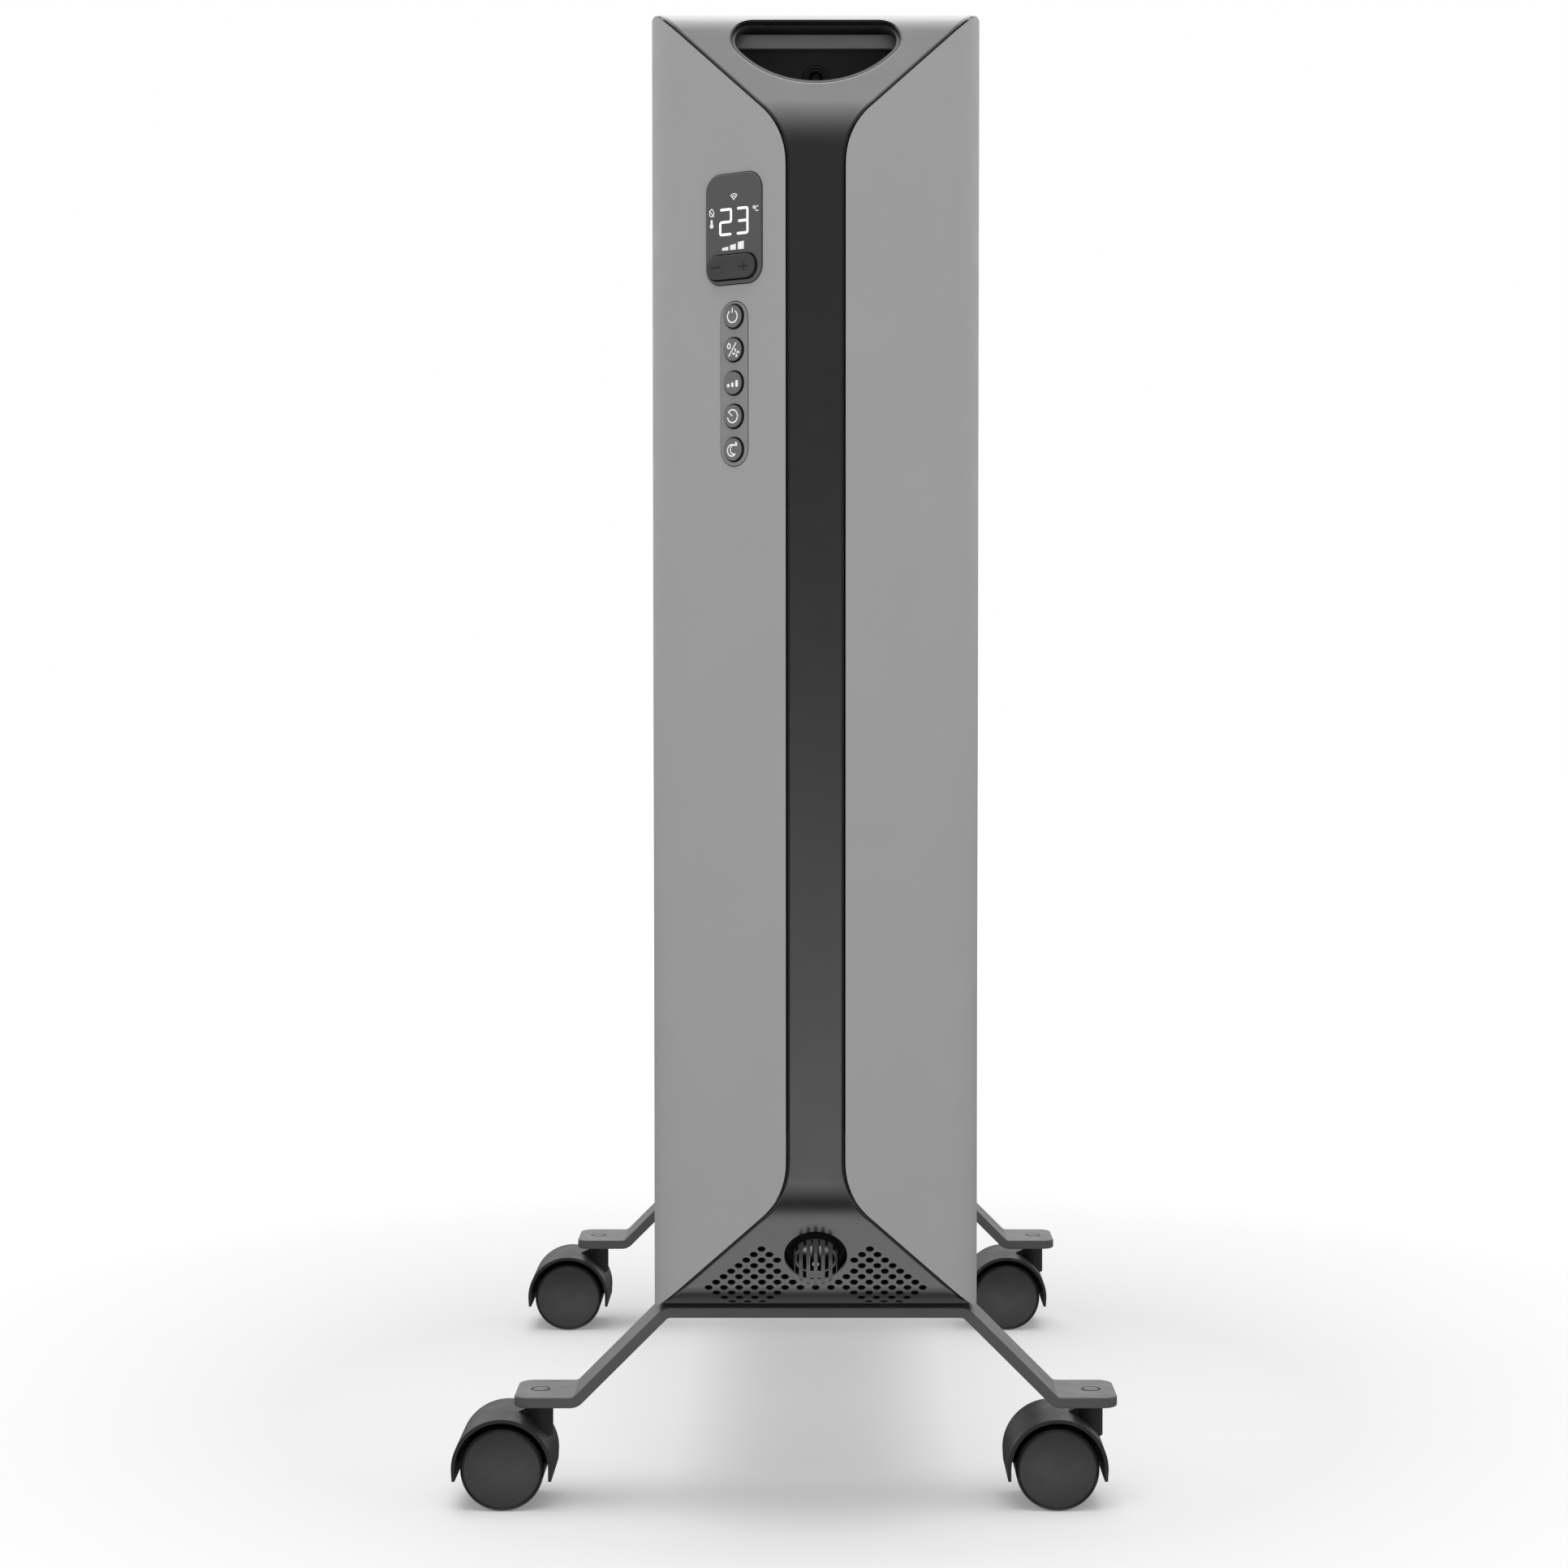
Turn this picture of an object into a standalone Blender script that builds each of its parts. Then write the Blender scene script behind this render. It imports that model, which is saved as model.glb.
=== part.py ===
"""Oil filled radiator heater on four castors, as an assembly of separate solids.

Metres, +Z up.  The origin is on the floor, midway between the four castor stems.
X runs across the heater, Y along its row of oil fins, and the control end faces -Y.
Run with: blender --background --python part.py
"""

from math import atan2, cos, pi, radians, sin, sqrt, tan

import bmesh
import bpy
from mathutils import Matrix, Vector

# ---------------------------------------------------------------- driving dimensions
GAP = 0.0003               # between pieces that touch
MILLIMETRE = 0.001

WHEEL_RADIUS = 0.019
WHEEL_SIDES = 20
STEM_X = 0.1263            # castor stems, from the centre
STEM_Y = 0.1873
TRAIL = 0.0163             # wheel axis behind the stem

BODY_HALF_WIDTH = 0.0735
BODY_TOP = 0.6760
BODY_BOTTOM = 0.0920
BODY_MIDDLE = (BODY_TOP + BODY_BOTTOM) / 2

CORNER_Y = 0.2110          # where the side plane and the slope plane would meet
COVER_REAR_Y = 0.1630      # inner end of each end cover
SLOPE = radians(37)        # how far the slopes lean away from the end plane
EDGE_RADIUS = 0.035        # rounding between a side wall and its slope
EDGE_SEGMENTS = 6
PANEL_WALL = 0.0022
SPINE_INSET = 0.0017       # spine surface below the panel surface
SPINE_WALL = 0.0022
CHANNEL_HALF_WIDTH = 0.0130
CHANNEL_DEPTH_Y = 0.0402   # spine strip, forward of CORNER_Y
LIP_END_Y = 0.0380         # end of the panels' turned-in lip, forward of CORNER_Y
SEAM = 0.0006              # half of the seam between a panel and the spine
MITRE_STRAIGHT = 0.0500    # length in X of the 45 degree part of the seam
MITRE_SEGMENTS = 6

HANDLE_TOP = 0.0063        # handle opening, below BODY_TOP
HANDLE_DROP = 0.0379
HANDLE_ARC = 0.04625       # radius of its curved lower edge
HANDLE_CORNER = 0.0095
POCKET_WALL = 0.0022
POCKET_LIP = 0.0014        # how far the pocket's rim shows inside the opening
POCKET_BACK_Y = 0.1700
HANDLE_SCREW_Z = 0.6517
GRIP_Y = (0.2010, 0.2085)  # the grip bar across the pocket
GRIP_Z = (0.6580, 0.6615, 0.6650)  # lower edge, start of the cut corners, upper edge
GRIP_HALF_LENGTH = (0.0363, 0.0343)
GRIP_SLANT = 0.0025

FIN_COUNT = 7
FIN_PITCH = 0.046
FIN_TOP = 0.6660
FIN_BOTTOM = 0.1040
FIN_HALF_WIDTH = 0.0700
FIN_SHEET = 0.0007
FIN_FLANGE = 0.0180        # half depth of the turned edges
OIL_HALF_WIDTH = 0.0420
OIL_HALF_DEPTH = 0.0070
OIL_CHAMFER = 0.0060
COLLAR_RADIUS = 0.0215
COLLAR_BORE = 0.0200
COLLAR_SIDES = 12
COLLAR_HEIGHTS = (0.1500, 0.6200)
FILLER_BORE = 0.0062

PLATE_SHEET = 0.0012
PLATE_FRONT_Y = 0.1626
PLATE_HALF_WIDTH = 0.0600

DISPLAY_SIZE = (0.0307, 0.0477)
DISPLAY_CENTRE_Z = 0.5743
DISPLAY_CORNER = 0.0075
DISPLAY_PROUD = 0.0010
DISPLAY_SEGMENTS = 5
ROCKER_SIZE = (0.0270, 0.0105)
ROCKER_CENTRE = (-0.0005, 0.5577)
ROCKER_PROUD = 0.0024
ROCKER_CLEARANCE = 0.0004
STRIP_SIZE = (0.0149, 0.0715)
STRIP_CENTRE_Z = 0.5071
STRIP_PROUD = 0.0003
BUTTON_RADIUS = 0.0050
BUTTON_PROUD = 0.0014
BUTTON_EDGE = 0.0005
BUTTON_CLEARANCE = 0.0005
BUTTON_PITCH = 0.01445
BUTTON_TOP_Z = 0.5363
BUTTON_NAMES = ("power", "mode", "heat", "timer", "night")
FACE_INSET_X = 0.0380      # controls' centre line, inward from the side wall

SENSOR_RISE = 0.0303       # sensor axis above BODY_BOTTOM
SENSOR_HOLE = 0.0136
SENSOR_CAGE = 0.0100
CAGE_SLOTS = 8
VENT_RADIUS = 0.00165
VENT_PITCH = 0.00686
VENT_ROW_RISE = 0.00292    # between rows, in Z
VENT_LOWEST_ROW = 0.0965
# vent rows from the lowest up: (first hole, number of holes), in half pitches from the centre line
VENT_ROWS = ((7, 3), (6, 4), (5, 5), (0, 8), (3, 6), (4, 5), (5, 4), (6, 3), (5, 3), (6, 2), (7, 1))

FOOT_DEPTH = 0.0360
FOOT_SHEET = 0.0049
FOOT_PLATE_BOTTOM = 0.0471
FOOT_MIDDLE_BOTTOM = 0.0885
FOOT_HALF_LENGTH = 0.1374
FOOT_UNDER_BEND_X = 0.0670
FOOT_CORNER = 0.0070
FOOT_BOLT_X = 0.0400

HOOD_OUTER = 0.0229
HOOD_INNER = 0.0212
HOOD_HALF_DEPTH = 0.0205
HOOD_LEG = 0.0055
HOOD_SEGMENTS = 12
WEB_HALF = 0.0021
WHEEL_INNER_Y = 0.0028
WHEEL_OUTER_Y = 0.0194
BOSS_TOP = 0.0455
BOSS_RADIUS = 0.00565
STEM_BORE = 0.0042


# ---------------------------------------------------------------- scene and materials
def clear_scene():
    for item in list(bpy.data.objects):
        bpy.data.objects.remove(item, do_unlink=True)


def material(name, colour, roughness, metallic=0.0):
    made = bpy.data.materials.new(name)
    made.use_nodes = True
    shader = made.node_tree.nodes["Principled BSDF"]
    shader.inputs["Base Color"].default_value = (*colour, 1.0)
    shader.inputs["Roughness"].default_value = roughness
    shader.inputs["Metallic"].default_value = metallic
    made.diffuse_color = (*colour, 1.0)
    return made


# ---------------------------------------------------------------- modelling helpers
def loft(rings, loop=False):
    """Bridge rings of equal length; the ends are capped, or joined when loop is set."""
    mesh = bmesh.new()
    rows = [[mesh.verts.new(point) for point in ring] for ring in rings]
    count = len(rows[0])
    pairs = list(zip(rows, rows[1:]))
    if loop:
        pairs.append((rows[-1], rows[0]))
    for near, far in pairs:
        for i in range(count):
            j = (i + 1) % count
            mesh.faces.new((near[i], near[j], far[j], far[i]))
    if not loop:
        mesh.faces.new(rows[0])
        mesh.faces.new(rows[-1])
    bmesh.ops.recalc_face_normals(mesh, faces=mesh.faces)
    return mesh


# how an outline's two coordinates and a height along the axis make a point
PLACERS = {
    "X": lambda a, b, h: Vector((h, a, b)),
    "Y": lambda a, b, h: Vector((a, h, b)),
    "Z": lambda a, b, h: Vector((a, b, h)),
}


def prism(outline, low, high, axis="Z"):
    """A closed prism; the outline's two coordinates are the axes other than the prism's, in order."""
    place = PLACERS[axis]
    return loft([[place(a, b, height) for a, b in outline] for height in (low, high)])


def circle(radius, sides, centre=(0.0, 0.0), turn=0.0):
    angles = [turn + 2 * pi * i / sides for i in range(sides)]
    return [(centre[0] + radius * cos(a), centre[1] + radius * sin(a)) for a in angles]


def arc(centre, radius, start, end, segments):
    """Points along an arc; angles in radians."""
    steps = [start + (end - start) * i / segments for i in range(segments + 1)]
    return [(centre[0] + radius * cos(a), centre[1] + radius * sin(a)) for a in steps]


def box(low, high):
    outline = [(low[0], low[1]), (high[0], low[1]), (high[0], high[1]), (low[0], high[1])]
    return prism(outline, low[2], high[2])


def centred_box(centre, size):
    low = [c - s / 2 for c, s in zip(centre, size)]
    high = [c + s / 2 for c, s in zip(centre, size)]
    return box(low, high)


def disc(radius, low, high, sides, centre=(0.0, 0.0), axis="Z", turn=0.0):
    return prism(circle(radius, sides, centre, turn), low, high, axis)


def lathe(profile, sides, axis="Z", loop=False, turn=0.0):
    """Turn (radius, height) points about an axis; the ends are flat caps, or the profile closes."""
    place = PLACERS[axis]
    rings = []
    for radius, height in profile:
        rings.append([place(a, b, height) for a, b in circle(radius, sides, turn=turn)])
    return loft(rings, loop)


def rounded_rectangle(width, height, radius, segments, centre=(0.0, 0.0)):
    points = []
    corners = ((1, 1, 0.0), (-1, 1, pi / 2), (-1, -1, pi), (1, -1, 3 * pi / 2))
    for side_x, side_y, start in corners:
        middle = (centre[0] + side_x * (width / 2 - radius), centre[1] + side_y * (height / 2 - radius))
        points += arc(middle, radius, start, start + pi / 2, segments)
    return without_repeats(points)


def without_repeats(points):
    """Drop points that repeat the one before them, as a pill's straight ends would."""
    kept = []
    for point in points:
        if not kept or (Vector(point) - Vector(kept[-1])).length > GAP / 30:
            kept.append(point)
    if (Vector(kept[0]) - Vector(kept[-1])).length <= GAP / 30:
        kept.pop()
    return kept


def moved(mesh, matrix):
    bmesh.ops.transform(mesh, matrix=matrix, verts=mesh.verts)
    return mesh


def joined(meshes):
    """Several separate bodies in one mesh, for use as one cutter."""
    whole = bmesh.new()
    for mesh in meshes:
        part = mesh_data("part", mesh)
        whole.from_mesh(part)
        bpy.data.meshes.remove(part)
    return whole


def mesh_data(name, mesh):
    data = bpy.data.meshes.new(name)
    mesh.to_mesh(data)
    mesh.free()
    return data


def temporary(mesh):
    made = bpy.data.objects.new("temporary", mesh_data("temporary", mesh))
    bpy.context.scene.collection.objects.link(made)
    return made


def solid(base, *steps):
    """Apply Boolean steps, each an operation and a mesh, and return the finished mesh data."""
    target = temporary(base)
    cutters = []
    for operation, mesh in steps:
        cutter = temporary(mesh)
        cutters.append(cutter)
        change = target.modifiers.new(operation, "BOOLEAN")
        change.operation = operation
        change.solver = "EXACT"
        change.object = cutter
    graph = bpy.context.evaluated_depsgraph_get()
    data = bpy.data.meshes.new_from_object(target.evaluated_get(graph))
    for item in [target, *cutters]:
        bpy.data.objects.remove(item, do_unlink=True)
    clean = bmesh.new()
    clean.from_mesh(data)
    bmesh.ops.remove_doubles(clean, verts=clean.verts, dist=MILLIMETRE / 1000)
    bmesh.ops.dissolve_degenerate(clean, edges=clean.edges, dist=MILLIMETRE / 1000)
    clean.to_mesh(data)
    clean.free()
    return data


def add_object(name, data, finish, location=(0, 0, 0), parent=None, smooth=None):
    """Put mesh data, or a bmesh, in the scene as one named piece."""
    if isinstance(data, bmesh.types.BMesh):
        data = mesh_data(name, data)
    if not data.materials:
        data.materials.append(finish)
    made = bpy.data.objects.new(name, data)
    made.location = location
    made.parent = parent
    bpy.context.scene.collection.objects.link(made)
    if smooth is not None:
        data.shade_smooth()
        data.set_sharp_from_angle(angle=radians(smooth))
    return made


def add_empty(name, matrix):
    made = bpy.data.objects.new(name, None)
    made.matrix_world = matrix
    bpy.context.scene.collection.objects.link(made)
    return made


# ---------------------------------------------------------------- the end covers' form
# A cover's cross-section is the same across its sides and over its top and bottom.  It is
# given by the distance in from that side, top or bottom, and the distance out from CORNER_Y.
MITRE_RADIUS = (BODY_HALF_WIDTH - CHANNEL_HALF_WIDTH - MITRE_STRAIGHT) / (1 - cos(pi / 4))
MITRE_CENTRE_IN = MITRE_STRAIGHT - MITRE_RADIUS * cos(pi / 4)
MITRE_CENTRE_DOWN = MITRE_STRAIGHT + MITRE_RADIUS * sin(pi / 4)
CHANNEL_IN = BODY_HALF_WIDTH - CHANNEL_HALF_WIDTH
EDGE_TANGENT = EDGE_RADIUS * tan((pi / 2 - SLOPE) / 2)


def slope_out(inward, depth=0.0):
    """Distance out from CORNER_Y of the slope plane, for a surface that lies depth inside it."""
    return inward * tan(SLOPE) - depth / cos(SLOPE)


def surface_out(inward, depth):
    """The same, over the rounded edge as well."""
    turn_in = EDGE_RADIUS - (EDGE_RADIUS - depth) * sin(SLOPE)
    if inward >= turn_in:
        return slope_out(inward, depth)
    across = (EDGE_RADIUS - inward) / (EDGE_RADIUS - depth)
    return -EDGE_TANGENT + (EDGE_RADIUS - depth) * sqrt(max(0.0, 1 - across * across))


def mitre_down(inward):
    """How far below the top the seam lies, at a distance in from the side."""
    if inward <= MITRE_STRAIGHT:
        return inward
    across = inward - MITRE_CENTRE_IN
    return MITRE_CENTRE_DOWN - sqrt(max(0.0, MITRE_RADIUS ** 2 - across ** 2))


def mitre_in(down):
    """How far in from the side the seam lies, at a distance below the top."""
    if down <= MITRE_STRAIGHT:
        return down
    if down >= MITRE_CENTRE_DOWN:
        return CHANNEL_IN
    return MITRE_CENTRE_IN + sqrt(MITRE_RADIUS ** 2 - (MITRE_CENTRE_DOWN - down) ** 2)


def edge_points(depth):
    """The rounded edge of a surface that lies depth inside the outer one."""
    radius = EDGE_RADIUS - depth
    steps = [(pi / 2 - SLOPE) * i / EDGE_SEGMENTS for i in range(EDGE_SEGMENTS + 1)]
    return [(EDGE_RADIUS - radius * cos(a), -EDGE_TANGENT + radius * sin(a)) for a in steps]


def panel_mesh(side, end):
    """A side panel: side is -1 for left and 1 for right, end is -1 for front and 1 for rear."""
    rear = COVER_REAR_Y - CORNER_Y
    outer = [(0.0, rear)] + edge_points(0.0)
    inner = [(PANEL_WALL, rear)] + edge_points(PANEL_WALL)
    lip_in = CHANNEL_IN - PANEL_WALL
    turns = [pi / 4 * (1 - i / MITRE_SEGMENTS) for i in range(MITRE_SEGMENTS + 1)]
    for turn in turns:
        across = MITRE_CENTRE_IN + MITRE_RADIUS * cos(turn)
        share = (across - MITRE_STRAIGHT) / (CHANNEL_IN - MITRE_STRAIGHT)
        back = MITRE_STRAIGHT + share * (lip_in - MITRE_STRAIGHT)
        outer.append((across, slope_out(across)))
        inner.append((back, slope_out(back, PANEL_WALL)))
    outer.append((CHANNEL_IN, LIP_END_Y))
    inner.append((lip_in, LIP_END_Y))
    rings = []
    for near, far in zip(outer, inner):
        ring = []
        for (inward, out), top in ((near, True), (near, False), (far, False), (far, True)):
            down = mitre_down(inward) + SEAM
            height = BODY_TOP - down if top else BODY_BOTTOM + down
            ring.append(Vector((side * (BODY_HALF_WIDTH - inward), end * (CORNER_Y + out), height)))
        rings.append(ring)
    return loft(rings)


def spine_half(depth):
    """(down, out) points of a spine surface, from the cover's inner end to the middle of the strip."""
    strip_out = CHANNEL_DEPTH_Y - (depth - SPINE_INSET)
    radius = EDGE_RADIUS - (depth - SPINE_INSET)
    bend_out = CHANNEL_DEPTH_Y - EDGE_RADIUS
    bend_down = (SPINE_INSET + EDGE_RADIUS + bend_out * cos(SLOPE)) / sin(SLOPE)
    points = [(depth, COVER_REAR_Y - CORNER_Y)] + edge_points(depth)
    turns = [SLOPE * (1 - i / MITRE_SEGMENTS) for i in range(MITRE_SEGMENTS + 1)]
    points += [(bend_down - radius * sin(a), bend_out + radius * cos(a)) for a in turns]
    points += [(bend_down + share * (MITRE_CENTRE_DOWN - bend_down), strip_out) for share in (0.4, 1.0)]
    return points


def spine_mesh(end):
    """The spine: top, slopes, centre strip and underside of a cover, in one wrapped sheet."""
    outer = spine_half(SPINE_INSET)
    inner = spine_half(SPINE_INSET + SPINE_WALL)
    rings = []
    halves = [(BODY_TOP, -1, list(zip(outer, inner))), (BODY_BOTTOM, 1, list(zip(outer, inner))[::-1])]
    for level, direction, pairs in halves:
        for near, far in pairs:
            ring = []
            for (down, out), side in ((near, -1), (near, 1), (far, 1), (far, -1)):
                half = BODY_HALF_WIDTH - mitre_in(down) - SEAM
                ring.append(Vector((side * half, end * (CORNER_Y + out), level + direction * down)))
            rings.append(ring)
    return loft(rings)


def handle_outline(grow=0.0):
    """The half-moon handle opening in X and Z: flat top, round corners and a curved lower edge."""
    top = BODY_TOP - HANDLE_TOP + grow
    big = HANDLE_ARC + grow
    small = HANDLE_CORNER + grow
    big_z = BODY_TOP - HANDLE_DROP + HANDLE_ARC
    small_z = top - small
    small_x = sqrt((big - small) ** 2 - (big_z - small_z) ** 2)
    meet = atan2(small_z - big_z, small_x)
    right = arc((small_x, small_z), small, meet, pi / 2, 4)
    left = [(-x, z) for x, z in reversed(right)]
    bottom = arc((0.0, big_z), big, -pi - meet, meet, 10)
    return right + left + bottom[1:-1]


def vent_centres():
    """(x, z) of every vent hole in the lower slope."""
    centres = []
    for row, (first, count) in enumerate(VENT_ROWS):
        height = VENT_LOWEST_ROW + row * VENT_ROW_RISE
        for i in range(count):
            across = (first + 2 * i) * VENT_PITCH / 2
            centres.append((across, height))
            if across > 0:
                centres.append((-across, height))
    return centres


# ---------------------------------------------------------------- face frames
def control_face():
    """Frame on the left front slope: X across it towards the channel, Y up, Z out of the face."""
    across = Vector((cos(SLOPE), -sin(SLOPE), 0))
    outward = Vector((-sin(SLOPE), -cos(SLOPE), 0))
    origin = Vector((FACE_INSET_X - BODY_HALF_WIDTH, -CORNER_Y - slope_out(FACE_INSET_X), 0))
    turn = Matrix((across, Vector((0, 0, 1)), outward)).transposed().to_4x4()
    return add_empty("control_face", Matrix.Translation(origin) @ turn)


def sensor_frame():
    """Frame on the front cover's lower slope: Z out of the slope, X to the right."""
    outward = Vector((0, -cos(SLOPE), -sin(SLOPE)))
    across = Vector((1, 0, 0))
    origin = Vector((0, -CORNER_Y - slope_out(SENSOR_RISE, SPINE_INSET), BODY_BOTTOM + SENSOR_RISE))
    turn = Matrix((across, outward.cross(across), outward)).transposed().to_4x4()
    return Matrix.Translation(origin) @ turn


# ---------------------------------------------------------------- oil fins
def fin_outline():
    """One fin's cross-section: oil panel, webs and turned edges, in X and Y."""
    half = [
        (OIL_HALF_WIDTH - OIL_CHAMFER, OIL_HALF_DEPTH),
        (OIL_HALF_WIDTH, FIN_SHEET),
        (OIL_HALF_WIDTH + 0.002, FIN_SHEET / 2),
        (FIN_HALF_WIDTH - FIN_SHEET, FIN_SHEET / 2),
        (FIN_HALF_WIDTH - FIN_SHEET, FIN_FLANGE),
        (FIN_HALF_WIDTH, FIN_FLANGE),
    ]
    right = half + [(x, -y) for x, y in reversed(half)]
    return right + [(-x, -y) for x, y in right]


def fin_data(closed_front, closed_rear):
    """A fin about its own middle plane; its oil space is open through the collars' bores."""
    reach = FIN_PITCH / 2 - GAP / 2
    collars = [disc(COLLAR_RADIUS, -reach, reach, COLLAR_SIDES, (0.0, z), "Y") for z in COLLAR_HEIGHTS]
    wall = 2 * FIN_SHEET
    flat, deep, tip = OIL_HALF_WIDTH - OIL_CHAMFER, OIL_HALF_DEPTH - FIN_SHEET, OIL_HALF_WIDTH - wall
    hexagon = [(flat, deep), (tip, 0.0), (flat, -deep), (-flat, -deep), (-tip, 0.0), (-flat, deep)]
    space = prism(hexagon, FIN_BOTTOM + wall, FIN_TOP - wall)
    bores = []
    for height in COLLAR_HEIGHTS:
        upper = height == COLLAR_HEIGHTS[1]
        front = wall - reach if closed_front and upper else -reach - wall
        rear = reach - wall if closed_rear else reach + wall
        bores.append(disc(COLLAR_BORE, front, rear, COLLAR_SIDES, (0.0, height), "Y"))
    steps = [("UNION", collar) for collar in collars]
    steps += [("DIFFERENCE", space)] + [("DIFFERENCE", bore) for bore in bores]
    if closed_front:
        filler = disc(FILLER_BORE, -reach - wall, 0, 12, (0.0, COLLAR_HEIGHTS[1]), "Y")
        steps.append(("DIFFERENCE", filler))
    return solid(prism(fin_outline(), FIN_BOTTOM, FIN_TOP), *steps)


def build_fins(finish):
    middle = fin_data(False, False)
    ends = {0: fin_data(True, False), FIN_COUNT - 1: fin_data(False, True)}
    for i in range(FIN_COUNT):
        offset = (i - (FIN_COUNT - 1) / 2) * FIN_PITCH
        add_object(f"fin_{i + 1}", ends.get(i, middle), finish, (0, offset, 0))


FIN_FRONT_Y = -(FIN_COUNT * FIN_PITCH - GAP) / 2


def build_oil_fittings(steel, brass):
    """The immersion heating element in the lower header, and the plug of the filling hole."""
    tube, half_bend, sides = 0.0042, 0.0080, 8
    front, bend = -0.1780, 0.1240
    height = COLLAR_HEIGHTS[0]
    rings = []
    for step in range(12):
        turn = pi * min(max(step - 1, 0), 9) / 9
        straight_end = step in (0, 11)
        reach = front if straight_end else bend + half_bend * sin(turn)
        centre = Vector((0, reach, -half_bend * cos(turn)))
        outward = Vector((0, sin(turn), -cos(turn)))
        across = Vector((1, 0, 0))
        rings.append([centre + tube * (outward * cos(a) + across * sin(a))
                      for a in (2 * pi * k / sides for k in range(sides))])
    flange_front = -PLATE_FRONT_Y - GAP - 0.0040
    flange = disc(0.0225, flange_front, -PLATE_FRONT_Y - GAP, COLLAR_SIDES, (0.0, 0.0), "Y")
    spigot = disc(0.0158, flange_front + 0.001, FIN_FRONT_Y + 0.006, 12, (0.0, 0.0), "Y")
    element = solid(flange, ("UNION", spigot), ("UNION", loft(rings)))
    add_object("heating_element", element, steel, (0, 0, height), smooth=40)
    plug_front = -PLATE_FRONT_Y - GAP
    thread = lathe([(0.0055, -0.002), (0.0055, 0.0066)], 10, "Y")
    shank = lathe([(0.0090, -0.0050), (0.0090, 0.0)], 6, "Y")
    add_object("filler_plug", solid(shank, ("UNION", thread)), brass, (0, plug_front, COLLAR_HEIGHTS[1]))


# ---------------------------------------------------------------- end plates
def end_plate_data(end):
    """A steel plate behind each cover, with a turned foot that the feet are bolted to."""
    face = end * PLATE_FRONT_Y
    back = end * (PLATE_FRONT_Y - PLATE_SHEET)
    foot_top = BODY_BOTTOM + SPINE_INSET + SPINE_WALL + GAP + PLATE_SHEET
    foot_bottom = foot_top - PLATE_SHEET
    reach = end * (STEM_Y + 0.0072)
    outline = [(back, foot_bottom), (reach, foot_bottom), (reach, foot_top), (face, foot_top),
               (face, 0.6685), (back, 0.6685)]
    holes = []
    for x in (-FOOT_BOLT_X, FOOT_BOLT_X):
        holes.append(disc(0.0029, foot_bottom - 0.002, foot_top + 0.002, 10, (x, end * STEM_Y)))
    low, high = sorted((face + end * 0.002, back - end * 0.002))
    if end < 0:
        holes.append(disc(0.0168, low, high, COLLAR_SIDES, (0.0, COLLAR_HEIGHTS[0]), "Y"))
        holes.append(disc(0.0066, low, high, 12, (0.0, COLLAR_HEIGHTS[1]), "Y"))
    holes.append(disc(0.0024, low, high, 8, (0.0, HANDLE_SCREW_Z), "Y"))
    for side in (-1, 1):
        for height in (0.30, 0.46):
            slot = rounded_rectangle(0.016, 0.090, 0.0040, 1, (side * 0.045, height))
            holes.append(prism(slot, low, high, "Y"))
    return solid(prism(outline, -PLATE_HALF_WIDTH, PLATE_HALF_WIDTH, "X"), ("DIFFERENCE", joined(holes)))


# ---------------------------------------------------------------- covers
def foot_bolt_cutters(end, radius):
    return [disc(radius, BODY_BOTTOM - 0.002, BODY_BOTTOM + 0.008, 10, (x, end * STEM_Y))
            for x in (-FOOT_BOLT_X, FOOT_BOLT_X)]


def spine_data(end):
    handle = [Vector((x, end * y, z)) for y in (0.19, 0.26) for x, z in handle_outline()]
    count = len(handle) // 2
    steps = [("DIFFERENCE", loft([handle[:count], handle[count:]]))]
    steps.append(("DIFFERENCE", joined(foot_bolt_cutters(end, 0.0029))))
    if end < 0:
        frame = sensor_frame()
        steps.append(("DIFFERENCE", moved(disc(SENSOR_HOLE, -0.006, 0.006, 20), frame)))
        vents = []
        for x, z in vent_centres():
            on_face = Vector((x, -CORNER_Y - surface_out(z - BODY_BOTTOM, SPINE_INSET), z))
            spot = frame.inverted() @ on_face
            hole = disc(VENT_RADIUS, spot.z - 0.004, spot.z + 0.002, 6, (spot.x, spot.y), turn=pi / 6)
            vents.append(moved(hole, frame))
        steps.append(("DIFFERENCE", joined(vents)))
    return solid(spine_mesh(end), *steps)


def pocket_data(end):
    """The finger pocket behind a handle opening; its rim follows the inside of the spine."""
    depth = SPINE_INSET + SPINE_WALL + GAP
    outer, inner = handle_outline(POCKET_WALL - POCKET_LIP), handle_outline(-POCKET_LIP)
    back = end * POCKET_BACK_Y
    floor = end * (POCKET_BACK_Y + POCKET_WALL)

    def rim(outline):
        return [Vector((x, end * (CORNER_Y + surface_out(BODY_TOP - z, depth)), z)) for x, z in outline]

    rings = [
        [Vector((x, back, z)) for x, z in outer],
        rim(outer),
        rim(inner),
        [Vector((x, floor, z)) for x, z in inner],
    ]
    near, far = sorted((back - end * 0.002, floor + end * 0.002))
    hole = disc(0.0024, near, far, 8, (0.0, HANDLE_SCREW_Z), "Y")
    low, middle, high = GRIP_Z
    long, short = GRIP_HALF_LENGTH
    outline = [(-long, low), (long, low), (long, middle), (short, high), (-short, high), (-long, middle)]
    front = [Vector((x, end * (GRIP_Y[1] - GRIP_SLANT * (z - low) / (high - low)), z)) for x, z in outline]
    grip = loft([front, [Vector((x, end * GRIP_Y[0], z)) for x, z in outline]])
    return solid(loft(rings), ("DIFFERENCE", hole), ("UNION", grip))


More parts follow.
